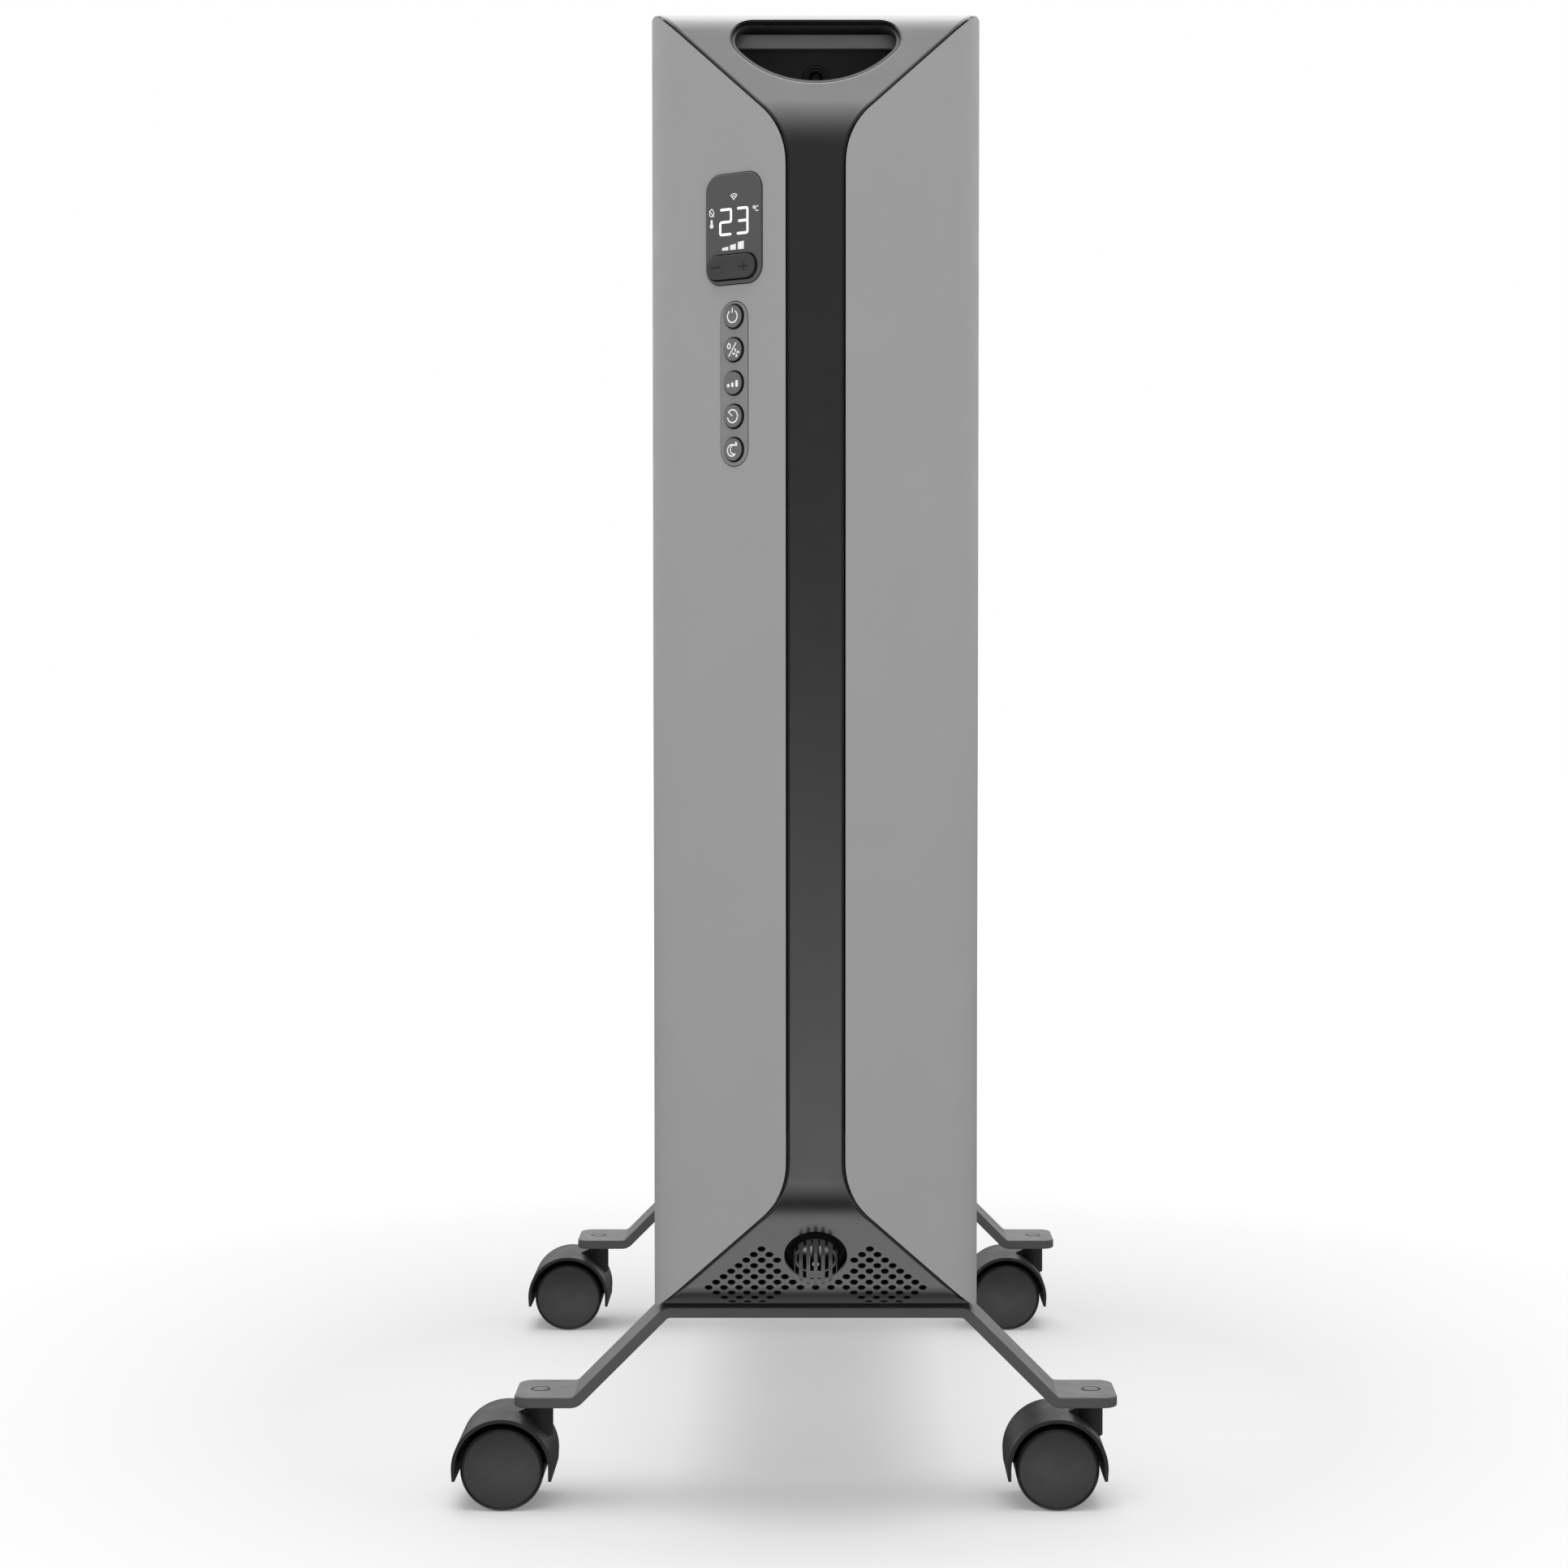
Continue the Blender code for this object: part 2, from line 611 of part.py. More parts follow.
def display_outline(grow=0.0):
    width, height = (size + 2 * grow for size in DISPLAY_SIZE)
    return rounded_rectangle(width, height, DISPLAY_CORNER + grow, DISPLAY_SEGMENTS, (0.0, DISPLAY_CENTRE_Z))


def rocker_outline(grow=0.0, centre=(0.0, 0.0)):
    width, height = (size + 2 * grow for size in ROCKER_SIZE)
    return rounded_rectangle(width, height, height / 2, 6, centre)


def strip_outline(grow=0.0):
    width, height = (size + 2 * grow for size in STRIP_SIZE)
    return rounded_rectangle(width, height, width / 2, DISPLAY_SEGMENTS, (0.0, STRIP_CENTRE_Z))


def left_panel_data(face):
    """The front left panel, with its windows for the display and the button strip."""
    outlines = [display_outline(GAP), strip_outline(GAP)]
    windows = [moved(prism(outline, -0.006, 0.004), face) for outline in outlines]
    return solid(panel_mesh(-1, -1), ("DIFFERENCE", joined(windows)))


GLAND_Y = -0.1780
GLAND_Z = 0.1300


def right_panel_data():
    """The front right panel, with the hole for the cord's gland low in its side wall."""
    hole = disc(0.0073, BODY_HALF_WIDTH - 0.005, BODY_HALF_WIDTH + 0.003, 16, (GLAND_Y, GLAND_Z), "X")
    return solid(panel_mesh(1, -1), ("DIFFERENCE", hole))


def build_covers(face, shell, trim, steel, screw_steel):
    add_object("front_left_panel", left_panel_data(face), shell, smooth=30)
    add_object("front_right_panel", right_panel_data(), shell, smooth=30)
    add_object("rear_left_panel", panel_mesh(-1, 1), shell, smooth=30)
    add_object("rear_right_panel", panel_mesh(1, 1), shell, smooth=30)
    for end, word in ((-1, "front"), (1, "rear")):
        add_object(f"{word}_spine", spine_data(end), trim, smooth=30)
        add_object(f"{word}_handle_pocket", pocket_data(end), trim, smooth=30)
        add_object(f"{word}_end_plate", end_plate_data(end), steel)
    head_back = -POCKET_BACK_Y - POCKET_WALL - GAP
    profile = [(0.0022, -0.0026), (0.0041, -0.0012), (0.0041, 0.0), (0.0019, 0.0), (0.0019, 0.0095)]
    screw = lathe(profile, 12, "Y")
    add_object("handle_screw", screw, screw_steel, (0, head_back, HANDLE_SCREW_Z), smooth=40)


# ---------------------------------------------------------------- controls
def build_controls(face, dark, glass, board, shell, button_finish):
    frame = add_empty("control_parts", face.matrix_world.copy())
    opening = prism(rocker_outline(ROCKER_CLEARANCE, ROCKER_CENTRE), -0.01, 0.01)
    lens = solid(prism(display_outline(), -PANEL_WALL, DISPLAY_PROUD), ("DIFFERENCE", opening))
    add_object("display_lens", lens, glass, parent=frame, smooth=30)

    rocker = prism(rocker_outline(), -0.0050, ROCKER_PROUD)
    add_object("rocker_button", rocker, dark, (*ROCKER_CENTRE, 0), frame, smooth=30)

    heights = [BUTTON_TOP_Z - i * BUTTON_PITCH for i in range(len(BUTTON_NAMES))]
    holes = [disc(BUTTON_RADIUS + BUTTON_CLEARANCE, -0.01, 0.01, 12, (0.0, z)) for z in heights]
    plate = prism(strip_outline(), STRIP_PROUD - 0.002, STRIP_PROUD)
    add_object("button_strip", solid(plate, ("DIFFERENCE", joined(holes))), shell, parent=frame, smooth=30)

    profile = [
        (0.0030, -0.0070), (0.0030, -0.0040), (0.0062, -0.0040), (0.0062, -0.0030), (BUTTON_RADIUS, -0.0030),
        (BUTTON_RADIUS, BUTTON_PROUD - BUTTON_EDGE), (BUTTON_RADIUS - BUTTON_EDGE, BUTTON_PROUD),
    ]
    cap = mesh_data("button", lathe(profile, 12))
    for name, height in zip(BUTTON_NAMES, heights):
        add_object(f"button_{name}", cap, button_finish, (0, height, 0), frame, smooth=30)

    circuit = box((-0.0150, 0.4660, -0.0096), (0.0150, 0.6020, -0.0080))
    add_object("control_board", circuit, board, parent=frame)


def sensor_cage_data():
    """A slotted cap over the room thermostat's probe, turned about the slope's normal."""
    profile = [
        (0.0045, 0.0094), (0.0080, 0.0086), (0.0084, 0.0076), (0.0084, -0.0042),
        (0.0158, -0.0042), (0.0158, -0.0027), (SENSOR_CAGE, -0.0027),
        (SENSOR_CAGE, 0.0094), (0.0092, 0.0104), (0.0062, 0.0109),
    ]
    cutters = []
    for i in range(CAGE_SLOTS):
        slot = box((0.0072, -0.0010, 0.0006), (0.0120, 0.0010, 0.0070))
        cutters.append(moved(slot, Matrix.Rotation(2 * pi * (i + 0.5) / CAGE_SLOTS, 4, "Z")))
    for across in (-0.0016, 0.0016):
        for side in (-1, 1):
            low, high = sorted((side * 0.0028, side * 0.0076))
            cutters.append(box((across - 0.0008, low, 0.0080), (across + 0.0008, high, 0.0130)))
    return solid(lathe(profile, 16), ("DIFFERENCE", joined(cutters)))


def build_sensor(dark, metal):
    frame = add_empty("sensor_frame", sensor_frame())
    add_object("sensor_cage", sensor_cage_data(), dark, parent=frame, smooth=30)
    probe = lathe([(0.0078, -0.0055), (0.0078, -0.0035), (0.0016, -0.0035), (0.0016, 0.0050)], 10)
    add_object("sensor_probe", probe, metal, parent=frame, smooth=40)


def build_safety_parts(dark, metal):
    """The over-temperature cutout and the tip-over switch, on the front end plate."""
    plate = -PLATE_FRONT_Y - GAP
    cutout = lathe([(0.0080, 0.0), (0.0080, -0.0040), (0.0062, -0.0046), (0.0062, -0.0100)], 14, "Y")
    add_object("thermal_cutout", cutout, metal, (0, plate, 0.2600), smooth=40)
    switch = box((-0.0120, -0.0130, -0.0150), (0.0120, 0.0, 0.0150))
    lever = box((-0.0030, -0.0190, -0.0060), (0.0030, -0.0120, -0.0020))
    add_object("tilt_switch", solid(switch, ("UNION", lever)), dark, (0, plate, 0.2100))


def build_cord_gland(rubber):
    profile = [(0.0038, 0.0001), (0.0070, 0.0001), (0.0070, -0.0025), (0.0092, -0.0025), (0.0092, -0.0055),
               (0.0038, -0.0055)]
    gland = lathe(profile, 16, "X", loop=True)
    add_object("cord_gland", gland, rubber, (BODY_HALF_WIDTH, GLAND_Y, GLAND_Z), smooth=30)


# ---------------------------------------------------------------- feet
def foot_outline():
    """The foot bar's folded strip in X and Z: plates at both ends, 45 degree legs, raised middle."""
    fall = FOOT_MIDDLE_BOTTOM - FOOT_PLATE_BOTTOM
    shift = FOOT_SHEET * tan(pi / 8)
    under = [(FOOT_UNDER_BEND_X, FOOT_MIDDLE_BOTTOM), (FOOT_UNDER_BEND_X + fall, FOOT_PLATE_BOTTOM)]
    upper = [(x + shift, z + FOOT_SHEET) for x, z in under]
    inside, outside = 0.0030, 0.0030 + FOOT_SHEET
    right = bend(under[0], 1, inside) + bend(under[1], -1, outside)
    right += [(FOOT_HALF_LENGTH, FOOT_PLATE_BOTTOM), (FOOT_HALF_LENGTH, FOOT_PLATE_BOTTOM + FOOT_SHEET)]
    right += bend(upper[1], -1, inside)[::-1] + bend(upper[0], 1, outside)[::-1]
    left = [(-x, z) for x, z in reversed(right)]
    return right + left


def bend(corner, side, radius):
    """Round a 45 degree fold: side is 1 where the strip turns down, -1 where it turns level again."""
    reach = radius * tan(pi / 8)
    if side > 0:
        return arc((corner[0] - reach, corner[1] - radius), radius, pi / 2, pi / 4, 3)
    return arc((corner[0] + reach, corner[1] + radius), radius, -3 * pi / 4, -pi / 2, 3)


def foot_bar_data():
    strip = prism(foot_outline(), -FOOT_DEPTH / 2, FOOT_DEPTH / 2, "Y")
    corners = [
        edge for edge in strip.edges
        if all(abs(abs(v.co.x) - FOOT_HALF_LENGTH) < GAP for v in edge.verts)
        and abs(edge.verts[0].co.z - edge.verts[1].co.z) > GAP
    ]
    bmesh.ops.bevel(strip, geom=corners, offset=FOOT_CORNER, segments=3, profile=0.5, affect="EDGES")
    holes = [disc(0.00420, 0.03, 0.06, 12, (side * STEM_X, 0.0)) for side in (-1, 1)]
    holes += [disc(0.0029, 0.08, 0.10, 10, (side * FOOT_BOLT_X, 0.0)) for side in (-1, 1)]
    return solid(strip, ("DIFFERENCE", joined(holes)))


def build_feet(finish, screw_steel):
    data = foot_bar_data()
    for end, word in ((-1, "front"), (1, "rear")):
        add_object(f"{word}_foot_bar", data, finish, (0, end * STEM_Y, 0), smooth=30)
    head_top = -GAP
    head = disc(0.0050, head_top - 0.0032, head_top, 6)
    shank = disc(0.0025, head_top - 0.001, 0.0150, 10)
    bolt = solid(head, ("UNION", shank))
    for end, word in ((-1, "front"), (1, "rear")):
        for side, hand in ((-1, "left"), (1, "right")):
            place = (side * FOOT_BOLT_X, end * STEM_Y, FOOT_MIDDLE_BOTTOM)
            add_object(f"{word}_foot_bolt_{hand}", bolt, screw_steel, place)


# ---------------------------------------------------------------- castors
def fork_data():
    """Hood, web and stem boss in one moulding, about the stem's axis; the wheels trail towards -X."""
    height = WHEEL_RADIUS
    chamfer = 0.0012
    outer = [(HOOD_OUTER - chamfer, -HOOD_LEG)] + arc((0, 0), HOOD_OUTER, 0, pi, HOOD_SEGMENTS)
    outer.append((chamfer - HOOD_OUTER, -HOOD_LEG))
    inner = [(-HOOD_INNER, -HOOD_LEG)] + arc((0, 0), HOOD_INNER, pi, 0, HOOD_SEGMENTS)
    inner.append((HOOD_INNER, -HOOD_LEG))
    arch = [(x - TRAIL, z + height) for x, z in outer + inner]
    hood = prism(arch, -HOOD_HALF_DEPTH, HOOD_HALF_DEPTH, "Y")

    web_outline = [(0.0050, -0.0050)] + arc((0, 0), HOOD_OUTER - 0.0008, 0, pi, 8) + [(-0.0050, -0.0050)]
    web = prism([(x - TRAIL, z + height) for x, z in web_outline], -WEB_HALF, WEB_HALF, "Y")
    gusset_half = WEB_HALF - 0.0002
    gusset_top = BOSS_TOP - 0.001
    gusset_outline = [
        (-0.0150, height + 0.0205), (-0.0045, gusset_top), (0.0, gusset_top), (0.0, height + 0.010),
    ]
    gusset = prism(gusset_outline, -gusset_half, gusset_half, "Y")

    reach = HOOD_HALF_DEPTH + 0.002
    wheel_room = disc(HOOD_INNER - 0.0004, -reach, reach, 2 * HOOD_SEGMENTS, (-TRAIL, height), "Y")
    boss = disc(BOSS_RADIUS, height + 0.012, BOSS_TOP, 12)
    bore = disc(STEM_BORE, 0.0375, BOSS_TOP + 0.002, 12)
    axle_hole = disc(0.0027, -0.01, 0.01, 8, (-TRAIL, height), "Y")
    return solid(hood, ("UNION", boss), ("DIFFERENCE", wheel_room), ("UNION", web), ("UNION", gusset),
                 ("DIFFERENCE", joined([bore, axle_hole])))


def wheel_data(side):
    """One half of a twin wheel about its own axle; its rim has a flat at the bottom to stand on."""
    rim = WHEEL_RADIUS / cos(pi / WHEEL_SIDES)
    profile = [
        (0.0027, 0.0170), (0.0027, WHEEL_INNER_Y), (rim, WHEEL_INNER_Y),
        (rim, WHEEL_OUTER_Y - 0.0016), (rim - 0.0016, WHEEL_OUTER_Y),
    ]
    return lathe([(radius, side * y) for radius, y in profile], WHEEL_SIDES, "Y",
                 turn=-pi / 2 + pi / WHEEL_SIDES)


def build_castors(dark, tyre, metal, stem_metal):
    stem = lathe(
        [(0.0038, 0.0519), (0.0038, 0.0468), (0.0054, 0.0468), (0.0054, 0.0459), (0.0036, 0.0459),
         (0.0036, 0.0380)],
        12,
    )
    stem = mesh_data("stem", stem)
    fork = fork_data()
    wheels = {side: mesh_data("wheel", wheel_data(side)) for side in (-1, 1)}
    pin = [(0.0019, -0.0165), (0.0023, -0.0160), (0.0023, 0.0160), (0.0019, 0.0165)]
    axle = mesh_data("axle", lathe(pin, 10, "Y"))
    for end, end_word in ((-1, "front"), (1, "rear")):
        for side, side_word in ((-1, "left"), (1, "right")):
            name = f"{end_word}_{side_word}"
            place = Vector((side * STEM_X, end * STEM_Y, 0))
            add_object(f"{name}_stem", stem, stem_metal, place, smooth=40)
            swivel = add_object(f"{name}_fork", fork, dark, place, smooth=30)
            hub = Vector((-TRAIL, 0, WHEEL_RADIUS))
            add_object(f"{name}_axle", axle, metal, hub, swivel, smooth=40)
            add_object(f"{name}_wheel_outer", wheels[end], tyre, hub, swivel, smooth=30)
            add_object(f"{name}_wheel_inner", wheels[-end], tyre, hub, swivel, smooth=30)


# ---------------------------------------------------------------- assembly
def build():
    clear_scene()
    shell = material("shell_grey", (0.32, 0.32, 0.32), 0.42, 0.35)
    trim = material("trim_dark", (0.055, 0.055, 0.057), 0.45, 0.2)
    fin_paint = material("fin_paint", (0.30, 0.30, 0.30), 0.45)
    steel = material("zinc_steel", (0.55, 0.56, 0.57), 0.35, 1.0)
    screw_steel = material("black_steel", (0.06, 0.06, 0.06), 0.4, 1.0)
    brass = material("brass", (0.60, 0.45, 0.20), 0.35, 1.0)
    lens = material("display_black", (0.04, 0.04, 0.04), 0.15)
    control_grey = material("control_grey", (0.13, 0.13, 0.13), 0.5)
    dark_plastic = material("dark_plastic", (0.03, 0.03, 0.03), 0.5)
    tyre = material("wheel_plastic", (0.025, 0.025, 0.025), 0.55)
    board = material("board_green", (0.02, 0.12, 0.06), 0.5)
    foot_paint = material("foot_paint", (0.09, 0.09, 0.092), 0.45, 0.5)
    rubber = material("rubber_black", (0.02, 0.02, 0.02), 0.7)

    face = control_face()
    bpy.context.view_layer.update()
    build_fins(fin_paint)
    build_oil_fittings(steel, brass)
    build_covers(face.matrix_world, shell, trim, steel, screw_steel)
    build_controls(face, dark_plastic, lens, board, shell, control_grey)
    build_sensor(dark_plastic, steel)
    build_safety_parts(dark_plastic, steel)
    build_cord_gland(rubber)
    build_feet(foot_paint, screw_steel)
    build_castors(dark_plastic, tyre, steel, screw_steel)
    bpy.context.view_layer.update()


build()
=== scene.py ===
"""Looks of the oil filled radiator heater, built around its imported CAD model.

Metres, +Z up, in the CAD's own frame: X runs across the heater, Y along its row of oil
fins, and the control end faces -Y.  The fine shapes repeat the CAD's dimensions, apart
from the few named under "where the looks leave the CAD", the castor hoods' blunter legs
and the slots of the sensor's cage.
"""

from math import atan2, cos, pi, radians, sin, sqrt, tan

import bmesh
import bpy
from mathutils import Matrix, Vector


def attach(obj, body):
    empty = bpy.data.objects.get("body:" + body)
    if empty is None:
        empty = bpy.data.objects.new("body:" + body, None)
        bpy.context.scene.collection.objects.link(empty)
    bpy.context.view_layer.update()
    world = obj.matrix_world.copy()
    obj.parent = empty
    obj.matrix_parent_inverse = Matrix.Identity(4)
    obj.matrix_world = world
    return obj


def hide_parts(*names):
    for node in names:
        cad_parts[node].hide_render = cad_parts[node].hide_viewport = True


# ---------------------------------------------------------------- dimensions of the CAD
GAP = 0.0003
MILLIMETRE = 0.001
WELD = MILLIMETRE / 1000      # vertices closer than this are one

BODY_HALF_WIDTH = 0.0735
BODY_TOP = 0.6760
BODY_BOTTOM = 0.0920
CORNER_Y = 0.2110          # where the side plane and the slope plane would meet
COVER_REAR_Y = 0.1630
SLOPE = radians(37)
EDGE_RADIUS = 0.035
EDGE_SEGMENTS = 22
PANEL_WALL = 0.0022
SPINE_INSET = 0.0017
SPINE_WALL = 0.0022
CHANNEL_HALF_WIDTH = 0.0130
CHANNEL_DEPTH_Y = 0.0402
LIP_END_Y = 0.0380
SEAM = 0.0006
MITRE_STRAIGHT = 0.0500
MITRE_SEGMENTS = 20

HANDLE_TOP = 0.0063
HANDLE_DROP = 0.0379
HANDLE_ARC = 0.04625
HANDLE_CORNER = 0.0095
POCKET_WALL = 0.0022
POCKET_LIP = 0.0014
POCKET_BACK_Y = 0.1700
HANDLE_SCREW_Z = 0.6517
GRIP_Y = (0.2010, 0.2085)
GRIP_Z = (0.6580, 0.6615, 0.6650)
GRIP_HALF_LENGTH = (0.0363, 0.0343)
GRIP_SLANT = 0.0025

FIN_COUNT = 7
FIN_PITCH = 0.046
FIN_TOP = 0.6660
FIN_BOTTOM = 0.1040
FIN_HALF_WIDTH = 0.0700
FIN_SHEET = 0.0007
FIN_FLANGE = 0.0180
OIL_HALF_WIDTH = 0.0420
OIL_HALF_DEPTH = 0.0070
COLLAR_RADIUS = 0.0215
COLLAR_HEIGHTS = (0.1500, 0.6200)

FACE_INSET_X = 0.0380
DISPLAY_SIZE = (0.0307, 0.0477)
DISPLAY_CENTRE = (0.0, 0.5743)
DISPLAY_CORNER = 0.0075
DISPLAY_PROUD = 0.0010
ROCKER_SIZE = (0.0270, 0.0105)
ROCKER_CENTRE = (-0.0005, 0.5577)
ROCKER_PROUD = 0.0024
STRIP_SIZE = (0.0149, 0.0715)
STRIP_CENTRE = (0.0, 0.5071)
STRIP_PROUD = 0.0003
BUTTON_RADIUS = 0.0050
BUTTON_PROUD = 0.0014
BUTTON_PITCH = 0.01445
BUTTON_TOP_Z = 0.5363

SENSOR_RISE = 0.0303
SENSOR_HOLE = 0.0136
VENT_RADIUS = 0.00165
VENT_PITCH = 0.00686
VENT_ROW_RISE = 0.00292
VENT_LOWEST_ROW = 0.0965
# vent rows from the lowest up: (first hole, number of holes), in half pitches from the centre line
VENT_ROWS = ((7, 3), (6, 4), (5, 5), (0, 8), (3, 6), (4, 5), (5, 4), (6, 3), (5, 3), (6, 2), (7, 1))

GLAND = (0.0735, -0.1780, 0.1300)

FOOT_DEPTH = 0.0360
FOOT_SHEET = 0.0049
FOOT_PLATE_BOTTOM = 0.0471
FOOT_MIDDLE_BOTTOM = 0.0885
FOOT_HALF_LENGTH = 0.1374
FOOT_UNDER_BEND_X = 0.0670
FOOT_CORNER = 0.0070
FOOT_BOLT_X = 0.0400

STEM_X = 0.1263
STEM_Y = 0.1873
TRAIL = 0.0163
WHEEL_RADIUS = 0.019
HOOD_OUTER = 0.0229
HOOD_INNER = 0.0212
HOOD_HALF_DEPTH = 0.0205
HOOD_LEG = 0.0055
WEB_HALF = 0.0021
BOSS_TOP = 0.0455
BOSS_RADIUS = 0.00565
STEM_BORE = 0.0042

# ---------------------------------------------------------------- where the looks leave the CAD
# Finer edges and small departures, all inside the CAD's own box.
# the spine's edge, rounded down into the seam: (in from the seam, depth below the cover's surface)
RIM_SECTION = (
    (0.0, 0.0039), (0.0, 0.0027), (0.0001, 0.0023), (0.0004, 0.0020), (0.0009, 0.0018), (0.0015, 0.0017),
)
PANEL_CORNER_TOP = 0.6729  # the panels' upper corners end lower, under the spine's top
TOP_LIFT = 0.0010          # the spine's top is this much higher
TOP_LIFT_REACH = 0.0120    # and falls back to the CAD's surface over this distance down
END_REACH = 0.0026         # the spine's top runs out over the panels' corners, and ends rounded
END_FALL = 0.0011
RECESS_STRETCH = 1.12      # the sensor's recess is longer up the slope
HOOD_LIFT = 0.0007         # the castors' hoods are higher
BOLT_HEAD = 0.0024         # the foot bolts' heads are lower, and round

ENDS = ((-1, "front"), (1, "rear"))
SIDES = ((-1, "left"), (1, "right"))


# ---------------------------------------------------------------- mesh helpers
def loft(rings, loop=False):
    """Bridge rings of equal length; the ends are capped, or joined when loop is set."""
    mesh = bmesh.new()
    rows = [[mesh.verts.new(point) for point in ring] for ring in rings]
    count = len(rows[0])
    pairs = list(zip(rows, rows[1:]))
    if loop:
        pairs.append((rows[-1], rows[0]))
    for near, far in pairs:
        for i in range(count):
            j = (i + 1) % count
            mesh.faces.new((near[i], near[j], far[j], far[i]))
    if not loop:
        mesh.faces.new(rows[0])
        mesh.faces.new(rows[-1])
    bmesh.ops.recalc_face_normals(mesh, faces=mesh.faces)
    return mesh


# how an outline's two coordinates and a height along the axis make a point
PLACERS = {
    "X": lambda a, b, h: Vector((h, a, b)),
    "Y": lambda a, b, h: Vector((a, h, b)),
    "Z": lambda a, b, h: Vector((a, b, h)),
}


def prism(outline, low, high, axis="Z"):
    place = PLACERS[axis]
    return loft([[place(a, b, height) for a, b in outline] for height in (low, high)])


def circle(radius, sides, centre=(0.0, 0.0)):
    angles = [2 * pi * i / sides for i in range(sides)]
    return [(centre[0] + radius * cos(a), centre[1] + radius * sin(a)) for a in angles]


def arc(centre, radius, start, end, segments):
    """Points along an arc; angles in radians."""
    steps = [start + (end - start) * i / segments for i in range(segments + 1)]
    return [(centre[0] + radius * cos(a), centre[1] + radius * sin(a)) for a in steps]


def box(low, high):
    outline = [(low[0], low[1]), (high[0], low[1]), (high[0], high[1]), (low[0], high[1])]
    return prism(outline, low[2], high[2])


def disc(radius, low, high, sides, centre=(0.0, 0.0), axis="Z"):
    return prism(circle(radius, sides, centre), low, high, axis)


def lathe(profile, sides, axis="Z", loop=False):
    """Turn (radius, height) points about an axis; the ends are flat caps, or the profile closes."""
    place = PLACERS[axis]
    rings = []
    for radius, height in profile:
        rings.append([place(a, b, height) for a, b in circle(radius, sides)])
    return loft(rings, loop)


def without_repeats(points):
    kept = []
    for point in points:
        if not kept or (Vector(point) - Vector(kept[-1])).length > GAP / 30:
            kept.append(point)
    if (Vector(kept[0]) - Vector(kept[-1])).length <= GAP / 30:
        kept.pop()
    return kept


def rounded_rectangle(size, radius, centre=(0.0, 0.0), grow=0.0, segments=10):
    width, height = size[0] + 2 * grow, size[1] + 2 * grow
    radius += grow
    points = []
    for side_x, side_y, start in ((1, 1, 0.0), (-1, 1, pi / 2), (-1, -1, pi), (1, -1, 3 * pi / 2)):
        middle = (centre[0] + side_x * (width / 2 - radius), centre[1] + side_y * (height / 2 - radius))
        points += arc(middle, radius, start, start + pi / 2, segments)
    return without_repeats(points)


def stacked(outline, levels):
    """A closed body from a function that gives an outline, grown as (grow, height) levels say."""
    return loft([[Vector((a, b, height)) for a, b in outline(grow)] for grow, height in levels])


def rounded_top(top, radius):
    """(grow, height) levels that round a top edge over."""
    turns = [pi / 8 * i for i in range(5)]
    return [(-radius * (1 - cos(a)), top - radius * (1 - sin(a))) for a in turns]


def moved(mesh, matrix):
    bmesh.ops.transform(mesh, matrix=matrix, verts=mesh.verts)
    return mesh


def mesh_data(name, mesh):
    data = bpy.data.meshes.new(name)
    mesh.to_mesh(data)
    mesh.free()
    return data


def joined(meshes):
    """Several separate bodies in one mesh."""
    whole = bmesh.new()
    for mesh in meshes:
        part = mesh_data("part", mesh)
        whole.from_mesh(part)
        bpy.data.meshes.remove(part)
    return whole


def placed(name, data):
    """A new object in the scene."""
    made = bpy.data.objects.new(name, data)
    bpy.context.scene.collection.objects.link(made)
    return made


def solid(base, *steps):
    """Apply Boolean steps, each an operation and a mesh, and return the finished mesh data."""
    target = placed("temporary", mesh_data("temporary", base))
    cutters = []
    for operation, mesh in steps:
        cutter = placed("temporary", mesh_data("temporary", mesh))
        cutters.append(cutter)
        change = target.modifiers.new(operation, "BOOLEAN")
        change.operation = operation
        change.solver = "EXACT"
        change.object = cutter
    graph = bpy.context.evaluated_depsgraph_get()
    data = bpy.data.meshes.new_from_object(target.evaluated_get(graph))
    for item in [target, *cutters]:
        bpy.data.objects.remove(item, do_unlink=True)
    clean = bmesh.new()
    clean.from_mesh(data)
    bmesh.ops.remove_doubles(clean, verts=clean.verts, dist=WELD)
    bmesh.ops.dissolve_degenerate(clean, edges=clean.edges, dist=WELD)
    clean.to_mesh(data)
    clean.free()
    return data


def piece(name, data, finish, body="root", nodes=(), place=None, bevel=0.0, sharp=50):
    """Put mesh data, or a bmesh, in the scene as one smooth-shaded piece riding on a CAD body."""
    if isinstance(data, bmesh.types.BMesh):
        data = mesh_data(name, data)
    if not data.materials:
        data.materials.append(finish)
    data.shade_smooth()
    made = placed(name, data)
    if place is not None:
        made.matrix_world = place
    if bevel:
        rounding = made.modifiers.new("rounding", "BEVEL")
        rounding.width = bevel
        rounding.segments = 2
        rounding.limit_method = "ANGLE"
        rounding.angle_limit = radians(32)
        rounding.miter_outer = "MITER_ARC"
    else:
        data.set_sharp_from_angle(angle=radians(sharp))
    even = made.modifiers.new("even_normals", "WEIGHTED_NORMAL")
    even.keep_sharp = True
    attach(made, body)
    if nodes:
        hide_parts(*nodes)
    return made


def two_finishes(data, main, other, takes_other):
    """Give mesh data two finishes; takes_other says of a polygon whether it carries the second."""
    data.materials.clear()
    data.materials.append(main)
    data.materials.append(other)
    for polygon in data.polygons:
        polygon.material_index = 1 if takes_other(polygon) else 0
    return data


def at(x, y, z):
    return Matrix.Translation((x, y, z))


# ---------------------------------------------------------------- materials
WHITE = (1.0, 1.0, 1.0, 1.0)
NOISE_RANGE = (0.3, 0.7)      # a noise texture's values lie mostly between these
TONE_SCALE = 28.0             # features per metre of the slow changes of tone
GLOSS_SCALE = 90.0
PRINT_SCALE = 700.0
TRACE_SCALE = 220.0


